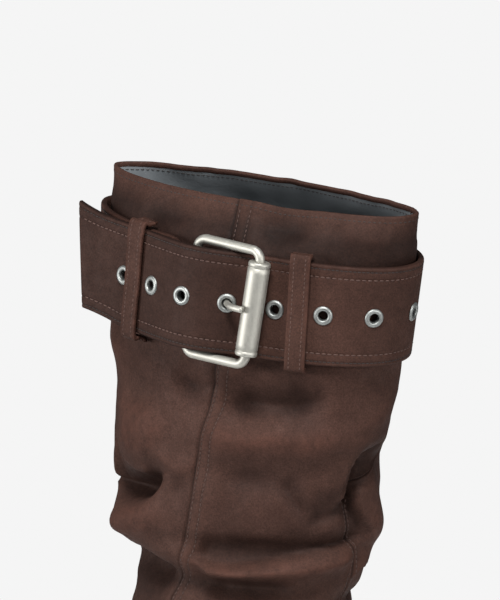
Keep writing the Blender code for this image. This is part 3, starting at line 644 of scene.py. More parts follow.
def brown_leather(name, dark, light, red):
    """Waxed brown leather with a short matte nap, mottled, rubbed red on its ridges, and darkened by
    painted shade from the mesh's shade field.
    """
    paint = Paint(name)
    broad = paint.noise(34, 3.0, 0.55)
    cloud = paint.noise(190, 5.0, 0.70)
    nap = paint.noise(1100, 3.0, 0.80)
    base = paint.blend(paint.ramp(broad, ((0.30, 0.0), (0.70, 1.0))), dark, light)
    spots = paint.ramp(cloud, ((0.35, 0.90), (0.66, 1.09)))
    base = paint.blend(1.0, base, spots, "MULTIPLY")
    grain = paint.ramp(nap, ((0.30, 0.60), (0.70, 1.42)))
    base = paint.blend(1.0, base, grain, "MULTIPLY")
    rubbed = paint.product(paint.field("wear"), paint.ramp(cloud, ((0.34, 0.15), (0.62, 1.0))))
    base = paint.blend(rubbed, base, red)
    # Painted shade: the shade field darkens the colour in the seams, stitch rows, fold hollows, the
    # collar over the belt, and the belt's edges, channels and tail.
    painted_shade = paint.ramp(paint.field("shade"), ((0.0, 1.0), (1.0, 0.28)))
    base = paint.blend(1.0, base, painted_shade, "MULTIPLY")
    normal = paint.bump(cloud, 0.0008, 0.35)
    normal = paint.bump(paint.noise(90, 3.0, 0.6, (1.0, 1.0, 0.35)), 0.0012, 0.30, normal)
    normal = paint.bump(paint.noise(700, 4.0, 0.6), 0.0004, 0.5, normal)
    normal = paint.bump(nap, 0.00018, 0.55, normal)
    return paint.finish(
        Base_Color=base,
        Roughness=paint.ramp(cloud, ((0.3, 0.78), (0.7, 0.60))),
        Normal=normal,
        Specular_IOR_Level=0.14,
    )


def plain(name, dark, light, roughness, scale, depth=0.0002, **more):
    """A mottled plain finish."""
    paint = Paint(name)
    broad = paint.noise(scale, 5.0, 0.6)
    base = paint.blend(paint.ramp(broad, ((0.3, 0.0), (0.7, 1.0))), dark, light)
    normal = paint.bump(paint.noise(scale * 8, 3.0, 0.6), depth, 0.5)
    rough = paint.ramp(broad, ((0.3, roughness - 0.06), (0.7, roughness + 0.06)))
    return paint.finish(Base_Color=base, Roughness=rough, Normal=normal, **more)


LEATHER = brown_leather("waxed_leather", (0.038, 0.0172, 0.0122), (0.057, 0.0268, 0.0194),
                        (0.092, 0.036, 0.024))
BELT = brown_leather("belt_leather", (0.037, 0.0168, 0.0119), (0.055, 0.0259, 0.0188),
                     (0.092, 0.036, 0.024))
LINING = plain("lining_leather", (0.145, 0.158, 0.167), (0.172, 0.187, 0.198), 0.70, 60)
NICKEL = plain("satin_nickel", (0.44, 0.429, 0.385), (0.52, 0.508, 0.458), 0.58, 900, 0.00003,
               Metallic=1.0)
EYELET = plain("eyelet_nickel", (0.27, 0.28, 0.27), (0.38, 0.395, 0.38), 0.52, 260, 0.00006,
               Metallic=1.0)
THREAD = plain("thread", (0.046, 0.022, 0.016), (0.108, 0.057, 0.044), 0.75, 500)
SEAM_THREAD = plain("seam_thread", (0.036, 0.018, 0.013), (0.075, 0.038, 0.029), 0.75, 500)
DARK_THREAD = plain("dark_thread", (0.016, 0.011, 0.010), (0.030, 0.021, 0.018), 0.75, 500)
SOLE = plain("sole_rubber", (0.018, 0.015, 0.014), (0.030, 0.025, 0.023), 0.72, 90)
FLOOR = plain("studio_floor", (0.78, 0.78, 0.78), (0.80, 0.80, 0.80), 0.85, 3)
HEEL = plain("stacked_heel", (0.026, 0.016, 0.013), (0.050, 0.032, 0.025), 0.42, 120)


def warped_turns(rise, columns):
    """Turns of the grid's columns, bent to follow both seams."""
    side = read(SIDE_SEAM, 1, rise) - 0.25
    back = read(BACK_SEAM, 1, rise)
    near_side = bell(columns - 0.25, 0.07)
    near_back = bell(wrapped(columns), 0.05)
    return columns + side * near_side + back * near_back


def seam_columns(count, seams):
    """Even columns with closer ones along the seams."""
    columns = list(np.arange(count) / count)
    for seam in seams:
        for away in (0.0, 0.4, 0.8, 1.3, 1.8, 2.4, 5.7, 6.2, 6.7):
            for sign in (-1, 1):
                columns.append((seam - sign * away * MM / SHAFT_GIRTH) % 1.0)
    columns = sorted(columns)
    kept = [columns[0]]
    for column in columns[1:]:
        if column - kept[-1] > 0.0006:
            kept.append(column)
    return np.array(kept)


def build_upper():
    """Leather shell with its rolled rim, and the lining inside it."""
    columns = seam_columns(UPPER_COLUMNS, (0.25, 0.0))
    share = np.linspace(0, 1, UPPER_LEVELS)
    rises = np.interp(share, (0, 0.22, 0.90, 1.0), (0, 0.45, 0.955, 1.0))
    rise = np.repeat(rises[:, None], len(columns), axis=1)
    turn = np.stack([warped_turns(level, columns) for level in rises])
    places, wear = upper_face(turn, rise)
    top = places[-1]
    normal = outward(turn[-1], rise[-1])
    climb = unit(smooth_upper(turn[-1], 1.0) - smooth_upper(turn[-1], 0.985))
    rows = [places]
    rim_wear = []
    for angle in (30, 60, 90, 120, 150, 180):
        radians = math.radians(angle)
        inward = WALL / 2 * (1 - math.cos(radians))
        up = RIM_ROUND * math.sin(radians)
        rows.append((top - normal * inward + climb * up)[None])
        rim_wear.append(np.full((1, len(columns)), 0.0010))
    for depth, inward in ((0.0016, WALL + 0.0003), (0.0026, WALL - 0.0006)):
        rows.append((top - normal * inward - climb * depth)[None])
        rim_wear.append(np.full((1, len(columns)), 0.0004))
    points = np.concatenate(rows)
    wear = np.concatenate([wear] + rim_wear)
    field = np.clip((wear - WEAR_AND_SHADE_FROM) / WEAR_AND_SHADE_SPAN, 0, 0.40)
    # The shade field is painted shade: the seams, their stitch rows, the collar and the fold hollows;
    # the rim rows get none.
    shade = np.zeros_like(wear)
    # Painted shade in the fold hollows, darker where they sink further in.
    hollow_painted_shade = np.clip((-wear[:len(rises)] - WEAR_AND_SHADE_FROM) / WEAR_AND_SHADE_SPAN, 0, 0.6)
    shade[:len(rises)] = seam_shade(turn, rise) + hollow_painted_shade
    shell = make("upper_leather_shell", points, grid_faces(len(points), len(columns), True),
                 LEATHER, fields={"wear": field, "shade": shade})
    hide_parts("upper")
    inner_columns = np.arange(LINING_COLUMNS) / LINING_COLUMNS
    inner_rises = np.concatenate([np.linspace(0.015, 0.45, 26), np.linspace(0.46, 0.9975, 96)])
    inner_turn, inner_rise = np.meshgrid(inner_columns, inner_rises)
    outside, pushed = upper_face(inner_turn, inner_rise, seams=False)
    behind = WALL + 0.0001 + 0.5 * np.clip(-pushed - 0.0025, 0, 0.006)
    inner = outside - outward(inner_turn, inner_rise) * behind[..., None]
    faces = grid_faces(len(inner_rises), LINING_COLUMNS, True)
    lining = make("lining_sleeve", inner, faces, LINING)
    return [shell, lining]


BELT_RISE = 1 - (BELT_UNDER_RIM + BELT_WIDTH / 2) / SHAFT_SPAN
ARC_STEPS = 240
ARC_PLACES = smooth_upper(np.arange(ARC_STEPS + 1) / ARC_STEPS, BELT_RISE)
ARC = np.concatenate([[0], np.cumsum(np.linalg.norm(np.diff(ARC_PLACES, axis=0), axis=1))])
GIRTH = ARC[-1]
TURNS = np.arange(ARC_STEPS + 1) / ARC_STEPS
ROLLER_ARC = float(np.interp(ROLLER_TURN, TURNS, ARC))


def on_shaft(arc, up, out):
    """A place beside the belt."""
    arc, up, out = np.broadcast_arrays(np.asarray(arc, float), up, out)
    turn = np.interp((ROLLER_ARC + arc) % GIRTH, ARC, TURNS)
    rise = BELT_RISE + BELT_CLIMB / SHAFT_SPAN * (1 - np.cos(2 * math.pi * turn)) / 2
    reach = BELT_WIDTH / 2 / SHAFT_SPAN
    climb = unit(smooth_upper(turn, rise + reach) - smooth_upper(turn, rise - reach))
    return (smooth_upper(turn, rise) + climb * up[..., None]
            + outward(turn, rise) * out[..., None])


STAND_OFF = 2 * GAP
HINGE_OUT = STAND_OFF + PLY + GAP / 2 + WIRE_RADIUS
WRAP = WIRE_RADIUS + GAP / 2 + PLY / 2
LAYER_ONE = STAND_OFF + STRAP / 2
LAYER_TWO = LAYER_ONE + STRAP + GAP
OVER_HINGE = HINGE_OUT + WRAP + PLY / 2 + 2 * GAP + STRAP / 2
ROLLER_OUT = LAYER_ONE + STRAP / 2 + GAP + ROLLER_RADIUS
ROUND_STEPS = 44
TONGUE_PLACES = 13
# From the roller to the hinge bar, then to the free end: how far along, how far up
RISE_OVER_HINGE = (
    (-0.1, 0),
    (0.14, 0.05),
    (0.34, 0.32),
    (0.55, 0.66),
    (0.76, 0.93),
    (0.93, 1),
    (1.07, 1),
)
FALL_TO_FREE_END = (
    (0.1, 0.8),
    (0.2, 0.53),
    (0.3, 0.28),
    (0.4, 0.09),
    (0.49, 0.02),
    (0.57, 0.05),
    (0.66, 0.16),
    (0.76, 0.4),
    (0.84, 0.72),
    (0.92, 1.12),
    (1, 1.65),
)


def strap_path():
    """The strap's middle line as (arc, out, thickness, half width), tongue to free end."""
    half = BELT_WIDTH / 2
    trimmed = FRAME_HALF - FRAME_CORNER - 2 * GAP
    path = [
        (HINGE_AT + TONGUE, HINGE_OUT - WRAP, PLY, trimmed),
        (HINGE_AT + TONGUE * 0.46, HINGE_OUT - WRAP, PLY, trimmed),
    ]
    for step in range(7):
        angle = -math.pi / 2 - math.pi * step / 6
        along = HINGE_AT + WRAP * math.cos(angle)
        path.append((along, HINGE_OUT + WRAP * math.sin(angle), PLY, trimmed))
    path += [
        (HINGE_AT + TONGUE * 0.46, HINGE_OUT + WRAP * 0.75, PLY, trimmed),
        (HINGE_AT + TONGUE * 0.92, LAYER_ONE + PLY * 1.2, PLY, mix(trimmed, half, 0.6)),
        (HINGE_AT + TONGUE * 1.31, LAYER_ONE + PLY * 0.5, mix(PLY, STRAP, 0.5), half),
        (HINGE_AT + TONGUE * 1.85, LAYER_ONE, STRAP, half),
    ]
    first = HINGE_AT + TONGUE * 2.6
    last = GIRTH - HINGE_AT * 0.4
    for step in range(ROUND_STEPS + 1):
        path.append((mix(first, last, step / ROUND_STEPS), LAYER_ONE, STRAP, half))
    for share, over in RISE_OVER_HINGE:
        path.append((GIRTH + share * HINGE_AT, mix(LAYER_ONE, OVER_HINGE, over), STRAP, half))
    for share, over in FALL_TO_FREE_END:
        arc = GIRTH + HINGE_AT + share * TAIL_LENGTH
        path.append((arc, mix(LAYER_TWO, OVER_HINGE, over), STRAP, half))
    return np.array(path)


def rounded(points, pieces):
    """A smooth line through points, with that many places for each stretch."""
    points = np.asarray(points, float)
    ends = np.concatenate([2 * points[:1] - points[1:2], points,
                           2 * points[-1:] - points[-2:-1]])
    result = []
    for index in range(1, len(ends) - 2):
        before, here, after, beyond = ends[index - 1:index + 3]
        count = pieces if isinstance(pieces, int) else pieces[index - 1]
        for step in range(count):
            part = step / count
            result.append(0.5 * (2 * here + (after - before) * part
                          + (2 * before - 5 * here + 4 * after - beyond) * part ** 2
                          + (3 * here - before - 3 * after + beyond) * part ** 3))
    result.append(points[-1])
    return np.array(result)


def path_normals(path):
    """Direction across the thickness in (along, out) at each place."""
    step = np.gradient(path[:, :2], axis=0)
    step = step / np.linalg.norm(step, axis=1, keepdims=True)
    return np.stack((-step[:, 1], step[:, 0]), axis=1)


STRAP_ROUGH = strap_path()
TAIL_PLACES = len(RISE_OVER_HINGE) + len(FALL_TO_FREE_END)
STRAP_PIECES = [4] * TONGUE_PLACES + [7] * ROUND_STEPS + [6] * TAIL_PLACES
STRAP_PATH = rounded(STRAP_ROUGH, STRAP_PIECES)
STRAP_NORMALS = path_normals(STRAP_PATH)
STRAP_START = 4 * TONGUE_PLACES


def strap_out(arc):
    """Height of the strap's middle over the shaft on its outer turn."""
    rows = STRAP_ROUGH[TONGUE_PLACES:]
    return np.interp(GIRTH + np.asarray(arc, float), rows[:, 0], rows[:, 1])


def strap_frame(arc):
    """Middle of the strap at one length from the roller, with its directions."""
    step = 0.0015
    centre = on_shaft(arc, 0.0, strap_out(arc))
    beside = on_shaft(arc + step, 0.0, strap_out(arc + step))
    beside = unit(beside - on_shaft(arc - step, 0.0, strap_out(arc - step)))
    up = on_shaft(arc, step, strap_out(arc)) - on_shaft(arc, -step, strap_out(arc))
    return centre, beside, unit(np.cross(up, beside))


def eyelet_arcs():
    """Lengths from the roller of the strap's eyelets."""
    before = [-EYELET_PITCH * step for step in range(EYELETS_ROUND, 0, -1)]
    beyond = [TAIL_PITCH * step for step in range(EYELETS_TO_TAIL + 1)]
    return [PRONG_HOLE_AT + length for length in before + beyond]


def tail_cut(arc, up, half):
    """Shorten and narrow the strap's lower side towards its free end, and lift its corner."""
    start = GIRTH + HINGE_AT + TAIL_LENGTH * 0.62
    reach = np.maximum(0.0, (arc - start) / (GIRTH + HINGE_AT + TAIL_LENGTH - start))
    lower = 0.5 - up / half / 2
    curl = TAIL_CURL * reach ** 3 * np.maximum(0.0, up / half) ** 2
    return -TAIL_SLANT * reach * lower, TAIL_TAPER * reach * lower + curl


# Half of the strap's outer face: millimetres from the edge, height over the flat face
EDGE_SHAPE = (
    (0.12, -0.95),
    (0.35, -0.42),
    (0.7, -0.12),
    (1.1, 0.02),
    (1.6, 0.04),
    (2, -0.06),
    (2.35, -0.2),
    (2.7, -0.06),
    (3.4, 0.08),
    (5.5, 0.1),
    (6.15, -0.02),
    (6.6, -0.24),
    (7.05, -0.02),
    (7.8, 0.1),
    (9.5, 0.12),
)


def build_belt():
    """The strap with rolled edges, sewn channels and open holes."""
    half_width = BELT_WIDTH / 2 / MM
    edge = [(half_width - away, height) for away, height in EDGE_SHAPE]
    middle = np.linspace(edge[-1][0], -edge[-1][0], 26)[1:-1]
    outer = edge + [(place, 0.12) for place in middle] + [(-up, h) for up, h in edge[::-1]]
    inner = [(-half_width + 0.15, 0.6), (-half_width + 0.6, 0.1)]
    inner += [(place, 0.0) for place in np.linspace(-half_width + 1.5, half_width - 1.5, 30)]
    inner += [(half_width - 0.6, 0.1), (half_width - 0.15, 0.6)]
    section = [(up / half_width, height, 0.5) for up, height in outer]
    section += [(up / half_width, height, -0.5) for up, height in inner]
    points = []
    wear = []
    shade = []
    for index, (arc, out, thick, half) in enumerate(STRAP_PATH):
        normal = STRAP_NORMALS[index]
        ups = np.array([share * half for share, _, _ in section])
        lift = np.array([side * thick + height * MM * thick / STRAP for _, height, side in section])
        back, raised = tail_cut(arc, ups, half)
        points.append(on_shaft(arc + normal[0] * lift + back, ups + raised,
                               out + normal[1] * lift))
        from_edge = (half - np.abs(ups)) / MM
        # Painted shade over the strap's free end, about its last 10 cm.
        tail_painted_shade = np.clip((0.105 - abs(arc - STRAP_PATH[-1][0])) / 0.008, 0, 1)
        rub = bell(from_edge, 0.9) * 0.28 + bell(from_edge - 6.6, 0.8) * 0.25
        wear.append(rub + 0.03)
        # Painted shade on the strap's edges and in its two stitch channels, plus the painted shade on
        # its tail.
        shade.append(0.45 * tail_painted_shade + 0.75 * bell(from_edge, 0.55)
                     + 0.35 * bell(from_edge - 2.35, 0.4)
                     + 0.40 * bell(from_edge - 6.6, 0.5))
    points = np.array(points)
    count = len(section)
    faces = grid_faces(len(points), count, True)
    flat = points.reshape(-1, 3)
    centres = flat[np.array(faces)].mean(axis=1)
    keep = np.ones(len(faces), bool)
    for arc in eyelet_arcs():
        centre, _, normal = strap_frame(arc)
        away = centres - centre
        height = away @ normal
        radial = np.linalg.norm(away - height[:, None] * normal, axis=1)
        keep &= ~((radial < 0.0033) & (np.abs(height) < STRAP))
    faces = [face for face, kept in zip(faces, keep) if kept]
    faces += end_faces(len(points), count)
    belt = make("belt_strap_leather", points, faces, BELT,
                fields={"wear": np.array(wear), "shade": np.array(shade)})
    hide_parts("belt_strap")
    return [belt]


def spokes(side, other, count):
    """Directions all round between two at a right angle."""
    angle = 2 * math.pi * np.arange(count) / count
    return side * np.cos(angle)[:, None] + other * np.sin(angle)[:, None]


def lathe_points(centre, axis, side, profile, segments):
    """Points of a profile of (radius, height) turned about an axis."""
    spoke = spokes(side, unit(np.cross(axis, side)), segments)
    return np.array([centre + spoke * radius + axis * height for radius, height in profile])


def joined(name, pieces, material):
    """Many (points, faces) as one mesh."""
    points = []
    faces = []
    for place, shape in pieces:
        first = len(points)
        points += place.reshape(-1, 3).tolist()
        faces += [tuple(first + corner for corner in face) for face in shape]
    return make(name, points, faces, material)


def build_eyelets():
    """Rounded rings with their barrels, in one mesh for each node's place."""
    face = STRAP / 2 / MM
    profile = (
        (EYELET_BORE / MM, -face),
        (EYELET_BORE / MM, face + 0.45),
        (2.65, face + 0.80),
        (3.00, face + 1.02),
        (3.50, face + 1.10),
        (4.05, face + 1.00),
        (4.50, face + 0.74),
        (4.80, face + 0.40),
        (EYELET_RADIUS / MM, face + 0.05),
        (3.05, face),
        (3.05, -face),
    )
    profile = [(radius * MM, height * MM) for radius, height in profile]
    made = []
    for number, arc in enumerate(eyelet_arcs(), start=1):
        centre, beside, normal = strap_frame(arc)
        points = lathe_points(centre, normal, beside, profile, RING_STEPS)
        faces = grid_faces(len(profile), RING_STEPS, True, True)
        ring = make(f"eyelet_ring_{number:02d}", points, faces, EYELET)
        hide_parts(f"eyelet_{number:02d}")
        made.append(ring)
    return made


def tube(name, path, radii, segments, closed):
    """A round metal rod along a path."""
    count = len(path)
    rings = []
    side = None
    for index in range(count):
        before = path[(index - 1) % count] if index or closed else path[index]
        after = path[(index + 1) % count] if index < count - 1 or closed else path[index]
        tangent = unit(after - before)
        if side is None:
            side = unit(np.cross(tangent, (0.3, 0.2, 0.9)))
        side = unit(side - tangent * np.dot(side, tangent))
        spoke = spokes(side, np.cross(tangent, side), segments)
        rings.append(path[index] + spoke * radii[index])
    if closed:
        faces = grid_faces(count, segments, True, True)
    else:
        faces = rod_faces(count, segments)
    return make(name, np.array(rings), faces, NICKEL)


def buckle_place(along, up, out):
    """A place on the buckle between the roller's bar and the hinge bar."""
    roller = on_shaft(0.0, up, ROLLER_OUT + out)
    hinge = on_shaft(HINGE_AT, up, HINGE_OUT + out)
    return roller + (hinge - roller) * (along / HINGE_AT)


def build_buckle():
    """Frame, roller and prong in satin nickel."""
    straight = FRAME_HALF - FRAME_CORNER
    corners = (
        (FRAME_CORNER, straight, 0.0, 90.0),
        (HINGE_AT - FRAME_CORNER, straight, 90.0, 180.0),
        (HINGE_AT - FRAME_CORNER, -straight, 180.0, 270.0),
        (FRAME_CORNER, -straight, 270.0, 360.0),
    )
    path = []
    for along, up, start, end in corners:
        for step in range(13):
            angle = math.radians(mix(start, end, step / 12))
            path.append(buckle_place(along - FRAME_CORNER * math.cos(angle),
                                     up + FRAME_CORNER * math.sin(angle), 0.0))
    radii = [WIRE_RADIUS] * len(path)
    frame_piece = tube("buckle_frame_wire", np.array(path), radii, WIRE_STEPS, True)
    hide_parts("buckle_frame")
    bottom = buckle_place(0.0, -ROLLER_LENGTH / 2, 0.0)
    top = buckle_place(0.0, ROLLER_LENGTH / 2, 0.0)
    axis = unit(top - bottom)
    side = unit(np.cross(axis, (0.9, 0.3, 0.1)))
    half = ROLLER_LENGTH / 2
    full = ROLLER_RADIUS
    profile = [(WIRE_RADIUS + GAP, -half), (full - 0.0011, -half), (full - 0.0004, -half + 0.0002),
               (full, -half + 0.0008), (full, -half + 0.0024), (full - 0.00035, -half + 0.0027),
               (full - 0.00035, -half + 0.0031), (full, -half + 0.0034)]
    profile += [(full, mix(-half + 0.006, half - 0.006, step / 6)) for step in range(7)]
    profile += [(radius, -height) for radius, height in profile[7::-1]]
    points = lathe_points((top + bottom) / 2, axis, side, profile, ROLLER_STEPS)
    faces = grid_faces(len(profile), ROLLER_STEPS, True, True)
    roller = make("buckle_roller_tube", points, faces, NICKEL)
    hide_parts("buckle_roller")
    eye = WIRE_RADIUS + GAP * 0.6 + PRONG_EYE
    path = []
    radii = []
    for angle in range(-90, 151, 30):
        along = HINGE_AT + eye * math.cos(math.radians(angle))
        path.append((along, HINGE_OUT + eye * math.sin(math.radians(angle))))
        radii.append(PRONG_EYE)
    bend = PRONG_RADIUS
    hole = float(strap_out(PRONG_HOLE_AT))
    entry = PRONG_HOLE_AT + bend * 2.5
    middle = mix(entry, HINGE_AT - eye, 0.5)
    clear = STRAP / 2 + bend + GAP
    rest = ROLLER_OUT + ROLLER_RADIUS + bend
    path += [
        (HINGE_AT - eye - bend, HINGE_OUT + GAP),
        (middle, min(HINGE_OUT, float(strap_out(middle)) - clear)),
        (entry, min(HINGE_OUT, float(strap_out(entry)) - clear)),
        (PRONG_HOLE_AT + bend * 1.2, hole - bend * 1.5),
        (PRONG_HOLE_AT + bend * 0.5, hole - bend * 0.9),
        (PRONG_HOLE_AT, hole),
        (PRONG_HOLE_AT - bend * 0.5, hole + bend * 1.1),
        (PRONG_HOLE_AT - bend * 1.4, hole + bend * 2.2),
        (PRONG_HOLE_AT - bend * 3.0, rest - bend * 1.9),
        (bend * 4.2, rest - bend * 0.8),
        (bend * 2.8, rest - bend * 0.3),
        (bend * 1.4, rest),
    ]
    radii += [(PRONG_EYE + PRONG_RADIUS) / 2] + [PRONG_RADIUS] * 11
    line = rounded([(along, out, radius) for (along, out), radius in zip(path, radii)], 4)
    places = on_shaft(line[:, 0], 0.0, line[:, 1])
    prong = tube("buckle_prong_pin", places, line[:, 2], PRONG_STEPS, False)
    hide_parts("buckle_prong")
    return [frame_piece, roller, prong]


LOOPS = (
    ("loop_outer_front", HINGE_AT + TAIL_LENGTH * 0.475, LAYER_TWO, 0.0),
    ("loop_outer_back", -EYELET_PITCH * 0.87, LAYER_ONE, 0.10),
    ("loop_inner_front", GIRTH * 0.43, LAYER_ONE, 0.0),
    ("loop_inner_back", GIRTH * 0.72, LAYER_ONE, 0.0),
)


def loop_line(layer):
    """A loop's middle line as (up, out), from its lower foot to its upper foot."""
    edge = BELT_WIDTH / 2
    over = layer + STRAP / 2 + LOOP_CLEAR + GAP + PLY / 2
    foot = GAP + PLY / 2
    return np.array((
        (-edge - LOOP_FOOT, foot),
        (-edge - LOOP_BEND - LOOP_FOOT / 4, foot),
        (-edge - LOOP_BEND, mix(foot, over, 0.45)),
        (-edge - LOOP_OVER, over),
        (0.0, over),
        (edge + LOOP_OVER, over),
        (edge + LOOP_BEND, mix(foot, over, 0.45)),
        (edge + LOOP_BEND + LOOP_OVER, foot),
        (edge + LOOP_TUCK, foot),
    ))


def build_loops():
    """Four sewn leather loops with rounded edges."""
    across = ((-0.50, -0.30), (-0.47, -0.02), (-0.40, 0.06), (-0.28, -0.03), (-0.20, 0.05),
              (0.0, 0.10), (0.20, 0.05), (0.28, -0.03), (0.40, 0.06), (0.47, -0.02), (0.50, -0.30))
    made = []
    for name, arc, layer, lean in LOOPS:
        line = rounded(loop_line(layer), LOOP_STEPS)
        normals = path_normals(line)
        section = [(share, 0.5 + height * 0.55) for share, height in across]
        section += [(share, -0.5) for share, _ in across[::-1]]
        points = []
        wear = []
        for (up, out), (across_up, across_out) in zip(line, normals):
            shares = np.array([share for share, _ in section])
            lift = np.array([height for _, height in section]) * PLY
            points.append(on_shaft(arc + lean * up + shares * LOOP_WIDTH,
                                   up + across_up * lift, out + across_out * lift))
            wear.append(bell(0.5 - np.abs(shares), 0.10) * 0.35 + 0.02)
        points = np.array(points)
        count = len(section)
        faces = grid_faces(len(points), count, True) + end_faces(len(points), count)
        loop = make(name + "_leather", points, faces, BELT,
                    fields={"wear": np.array(wear)})
        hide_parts(name)
        made.append(loop)
    return made


def stitch_row(places, normals, length, pitch, radius):
    """Stitches by sizes in millimetres along a line of places: (points, faces) for each."""
    length, pitch, radius = length * MM, pitch * MM, radius * MM
    steps = np.linalg.norm(np.diff(places, axis=0), axis=1)
    run = np.concatenate([[0], np.cumsum(steps)])
    count = int(run[-1] / pitch)
    centres = (np.arange(count) + 0.5) * pitch
    pieces = []
    corner = 2 * math.pi * np.arange(6) / 6
    rings = ((-0.5, 0.35), (-0.36, 0.95), (0.0, 1.1), (0.36, 0.95), (0.5, 0.35))
    shape = rod_faces(len(rings), 6)
    for middle in centres:
        ends = [np.array([np.interp(at, run, places[:, axis]) for axis in range(3)])
                for at in (middle - length / 2, middle + length / 2)]
        normal = unit(np.array([np.interp(middle, run, normals[:, axis]) for axis in range(3)]))
        centre = (ends[0] + ends[1]) / 2
        along = unit(ends[1] - ends[0])
        side = unit(np.cross(normal, along))
        normal = np.cross(along, side)
        points = []
        for share, size in rings:
            sink = (share * 2) ** 2 * radius * 0.8
            ring = centre + along * share * length - normal * sink
            spoke = side * np.cos(corner)[:, None] + normal * np.sin(corner)[:, None] * 0.8
            points.append(ring + spoke * radius * size)
        pieces.append((np.array(points), shape))
    return pieces


def belt_stitches():
    """Two rows along each edge of the strap."""
    fine = []
    bold = []
    index = np.arange(STRAP_START - 8, len(STRAP_PATH) - 1)
    path = STRAP_PATH[index]
    normals = STRAP_NORMALS[index]
    arcs = path[:, 0] + normals[:, 0] * path[:, 2] / 2
    outs = path[:, 1] + normals[:, 1] * path[:, 2] / 2
    rows = ((2.4, 0.00, fine, 1.7, 2.2, 0.22), (6.6, -0.02, bold, 2.3, 3.0, 0.34))
    for away, height, into, length, pitch, radius in rows:
        for side in (-1, 1):
            ups = side * (path[:, 3] - away * MM)
            back, raised = tail_cut(path[:, 0], ups, path[:, 3])
            places = on_shaft(arcs + back, ups + raised, outs + height * MM)
            above = on_shaft(arcs + back, ups + raised, outs + 0.001) - places
            into += stitch_row(places, unit(above), length, pitch, radius)
    return fine, bold


def loop_stitches():
    """Two rows on each loop and a bar of stitches across its lower foot."""
    pieces = []
    for _, arc, layer, lean in LOOPS:
        line = rounded(loop_line(layer), LOOP_STEPS)
        normals = path_normals(line)
        ups = line[:, 0] + normals[:, 0] * PLY / 2
        outs = line[:, 1] + normals[:, 1] * PLY / 2
        for share in (-0.28, 0.28):
            arcs = arc + lean * ups + share * LOOP_WIDTH
            places = on_shaft(arcs, ups, outs)
            above = on_shaft(arcs, ups + normals[:, 0] * MM, outs + normals[:, 1] * MM) - places
            pieces += stitch_row(places, unit(above), 1.7, 2.3, 0.24)
        foot = -BELT_WIDTH / 2 - LOOP_FOOT * 0.8
        arcs = arc + lean * foot + np.linspace(-0.30, 0.30, 8) * LOOP_WIDTH
        places = on_shaft(arcs, foot, GAP + PLY + STITCH_LIFT)
        above = on_shaft(arcs, foot, GAP + PLY + STITCH_LIFT + MM) - places
        pieces += stitch_row(places, unit(above), 1.4, 1.9, 0.24)
    return pieces


def face_line(turns, rises, lift):
    """Places and directions on the folded leather along a line of (turn, rise)."""
    places, _ = upper_face(turns, rises)
    step = 0.0015
    beside, _ = upper_face(turns + step, rises)
    above, _ = upper_face(turns, np.minimum(rises + step, 1.0))
    below, _ = upper_face(turns, np.maximum(rises - step, 0.0))
    normals = unit(np.cross(above - below, beside - places))
    return places + normals * lift, normals


def shaft_stitches():
    """Rows beside both seams and under the rim."""
    rises = np.linspace(0.15, 0.995, 420)
    rows = [(SIDE_SEAM, rises, away) for away in (-1.6, -6.2)]
    for shown in (rises[rises < 0.70], rises[rises > 0.75]):
        rows += [(BACK_SEAM, shown, away) for away in (-2.2, 2.2)]
    pieces = []
    for seam, shown, away in rows:
        turns = read(seam, 1, shown) + away * MM / SHAFT_GIRTH
        pieces += stitch_row(*face_line(turns, shown, STITCH_LIFT), 1.9, 2.6, 0.27)
    turns = np.linspace(0, 1, RIM_PLACES)
    dark = stitch_row(*face_line(turns, np.full(RIM_PLACES, 0.9955), 0.0), 1.9, 2.6, 0.25)
    rises = np.full(RIM_PLACES, 0.9935)
    inner, _ = upper_face(turns, rises, seams=False)
    out = outward(turns, rises)
    dark += stitch_row(inner - out * (WALL + 2 * STITCH_LIFT), -out, 1.9, 2.6, 0.22)
    return pieces, dark


def aim_camera():
    """Set the camera to the photo's view."""
    right, up, back, centre = picture_axes()
    camera = bpy.data.objects.new("camera", bpy.data.cameras.new("camera"))
    bpy.context.scene.collection.objects.link(camera)
    camera.data.type = "ORTHO"
    camera.data.ortho_scale = max(PICTURE) * PIXEL
    turned = Matrix((right, up, back)).transposed().to_4x4()
    camera.matrix_world = Matrix.Translation(centre + back * 1.5) @ turned
    bpy.context.scene.camera = camera
    return right, up, back


def add_light(name, place, target, size, power):
    """One soft square light."""
    data = bpy.data.lights.new(name, "AREA")
    data.size = size
    data.energy = power
    lamp = bpy.data.objects.new(name, data)
    bpy.context.scene.collection.objects.link(lamp)
    lamp.location = place
    lamp.rotation_euler = (place - target).to_track_quat("Z", "Y").to_euler()


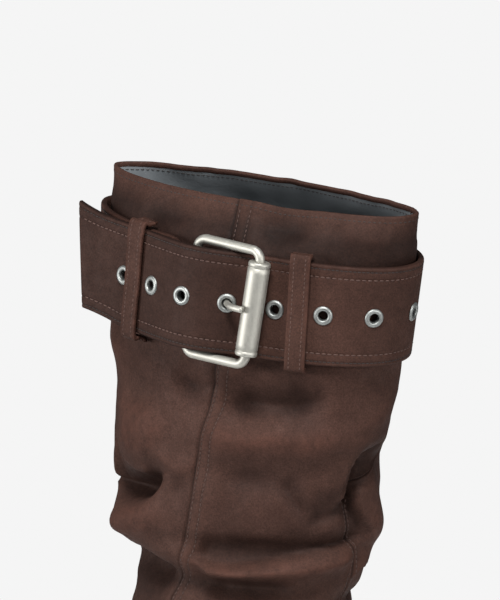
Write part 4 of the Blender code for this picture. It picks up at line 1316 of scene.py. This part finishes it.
def light_scene(right, up, back):
    """Soft studio light and a pale backdrop."""
    scene = bpy.context.scene
    scene.view_settings.view_transform = "Standard"
    target = Vector((-0.02, 0.0, 0.28))
    add_light("key", target + back * 1.0 + up * 1.0 - right * 0.1, target, 0.40, 23)
    add_light("right", target + back * 1.2 + right * 1.4 + up * 0.2, target, 0.6, 18)
    add_light("left", target + back * 0.5 - right * 1.4 + up * 0.1, target, 0.5, 17)
    edge = 0.55
    corners = ((-edge, -edge, 0.0), (edge, -edge, 0.0), (edge, edge, 0.0), (-edge, edge, 0.0))
    floor = make("floor", corners, [(0, 1, 2, 3)], FLOOR, smooth=False)
    world = bpy.data.worlds.new("studio")
    scene.world = world
    world.use_nodes = True
    nodes = world.node_tree.nodes
    links = world.node_tree.links
    light = nodes["Background"]
    light.inputs["Color"].default_value = (0.92, 0.95, 1.0, 1.0)
    light.inputs["Strength"].default_value = 0.15
    shown = nodes.new("ShaderNodeBackground")
    shown.inputs["Color"].default_value = (0.913, 0.913, 0.913, 1.0)
    choice = nodes.new("ShaderNodeMixShader")
    rays = nodes.new("ShaderNodeLightPath")
    links.new(rays.outputs["Is Camera Ray"], choice.inputs["Fac"])
    links.new(light.outputs[0], choice.inputs[1])
    links.new(shown.outputs[0], choice.inputs[2])
    links.new(choice.outputs[0], nodes["World Output"].inputs["Surface"])


for leftover in list(bpy.data.objects):
    bpy.data.objects.remove(leftover)
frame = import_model()
camera_axes = aim_camera()
light_scene(*camera_axes)

pieces = build_upper() + build_belt() + build_eyelets() + build_buckle() + build_loops()
fine_rows, bold_rows = belt_stitches()
seam_rows, rim_rows = shaft_stitches()
for name, rows, material, slot in (
        ("belt_edge_stitches", fine_rows, DARK_THREAD, "belt_leather"),
        ("belt_stitches", bold_rows, THREAD, "belt_leather"),
        ("loop_stitches", loop_stitches(), THREAD, "belt_leather"),
        ("seam_stitches", seam_rows, SEAM_THREAD, "upper_leather"),
        ("rim_stitches", rim_rows, DARK_THREAD, "upper_leather")):
    pieces.append(joined(name, rows, material))
for piece in pieces:
    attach(piece, "root")

for node, material in (("outsole", SOLE), ("heel_top_piece", SOLE), ("heel_block", HEEL),
                       ("insole", LINING)):
    slots = frame["nodes"][node].data.materials
    if len(slots):
        slots[0] = material
    else:
        slots.append(material)
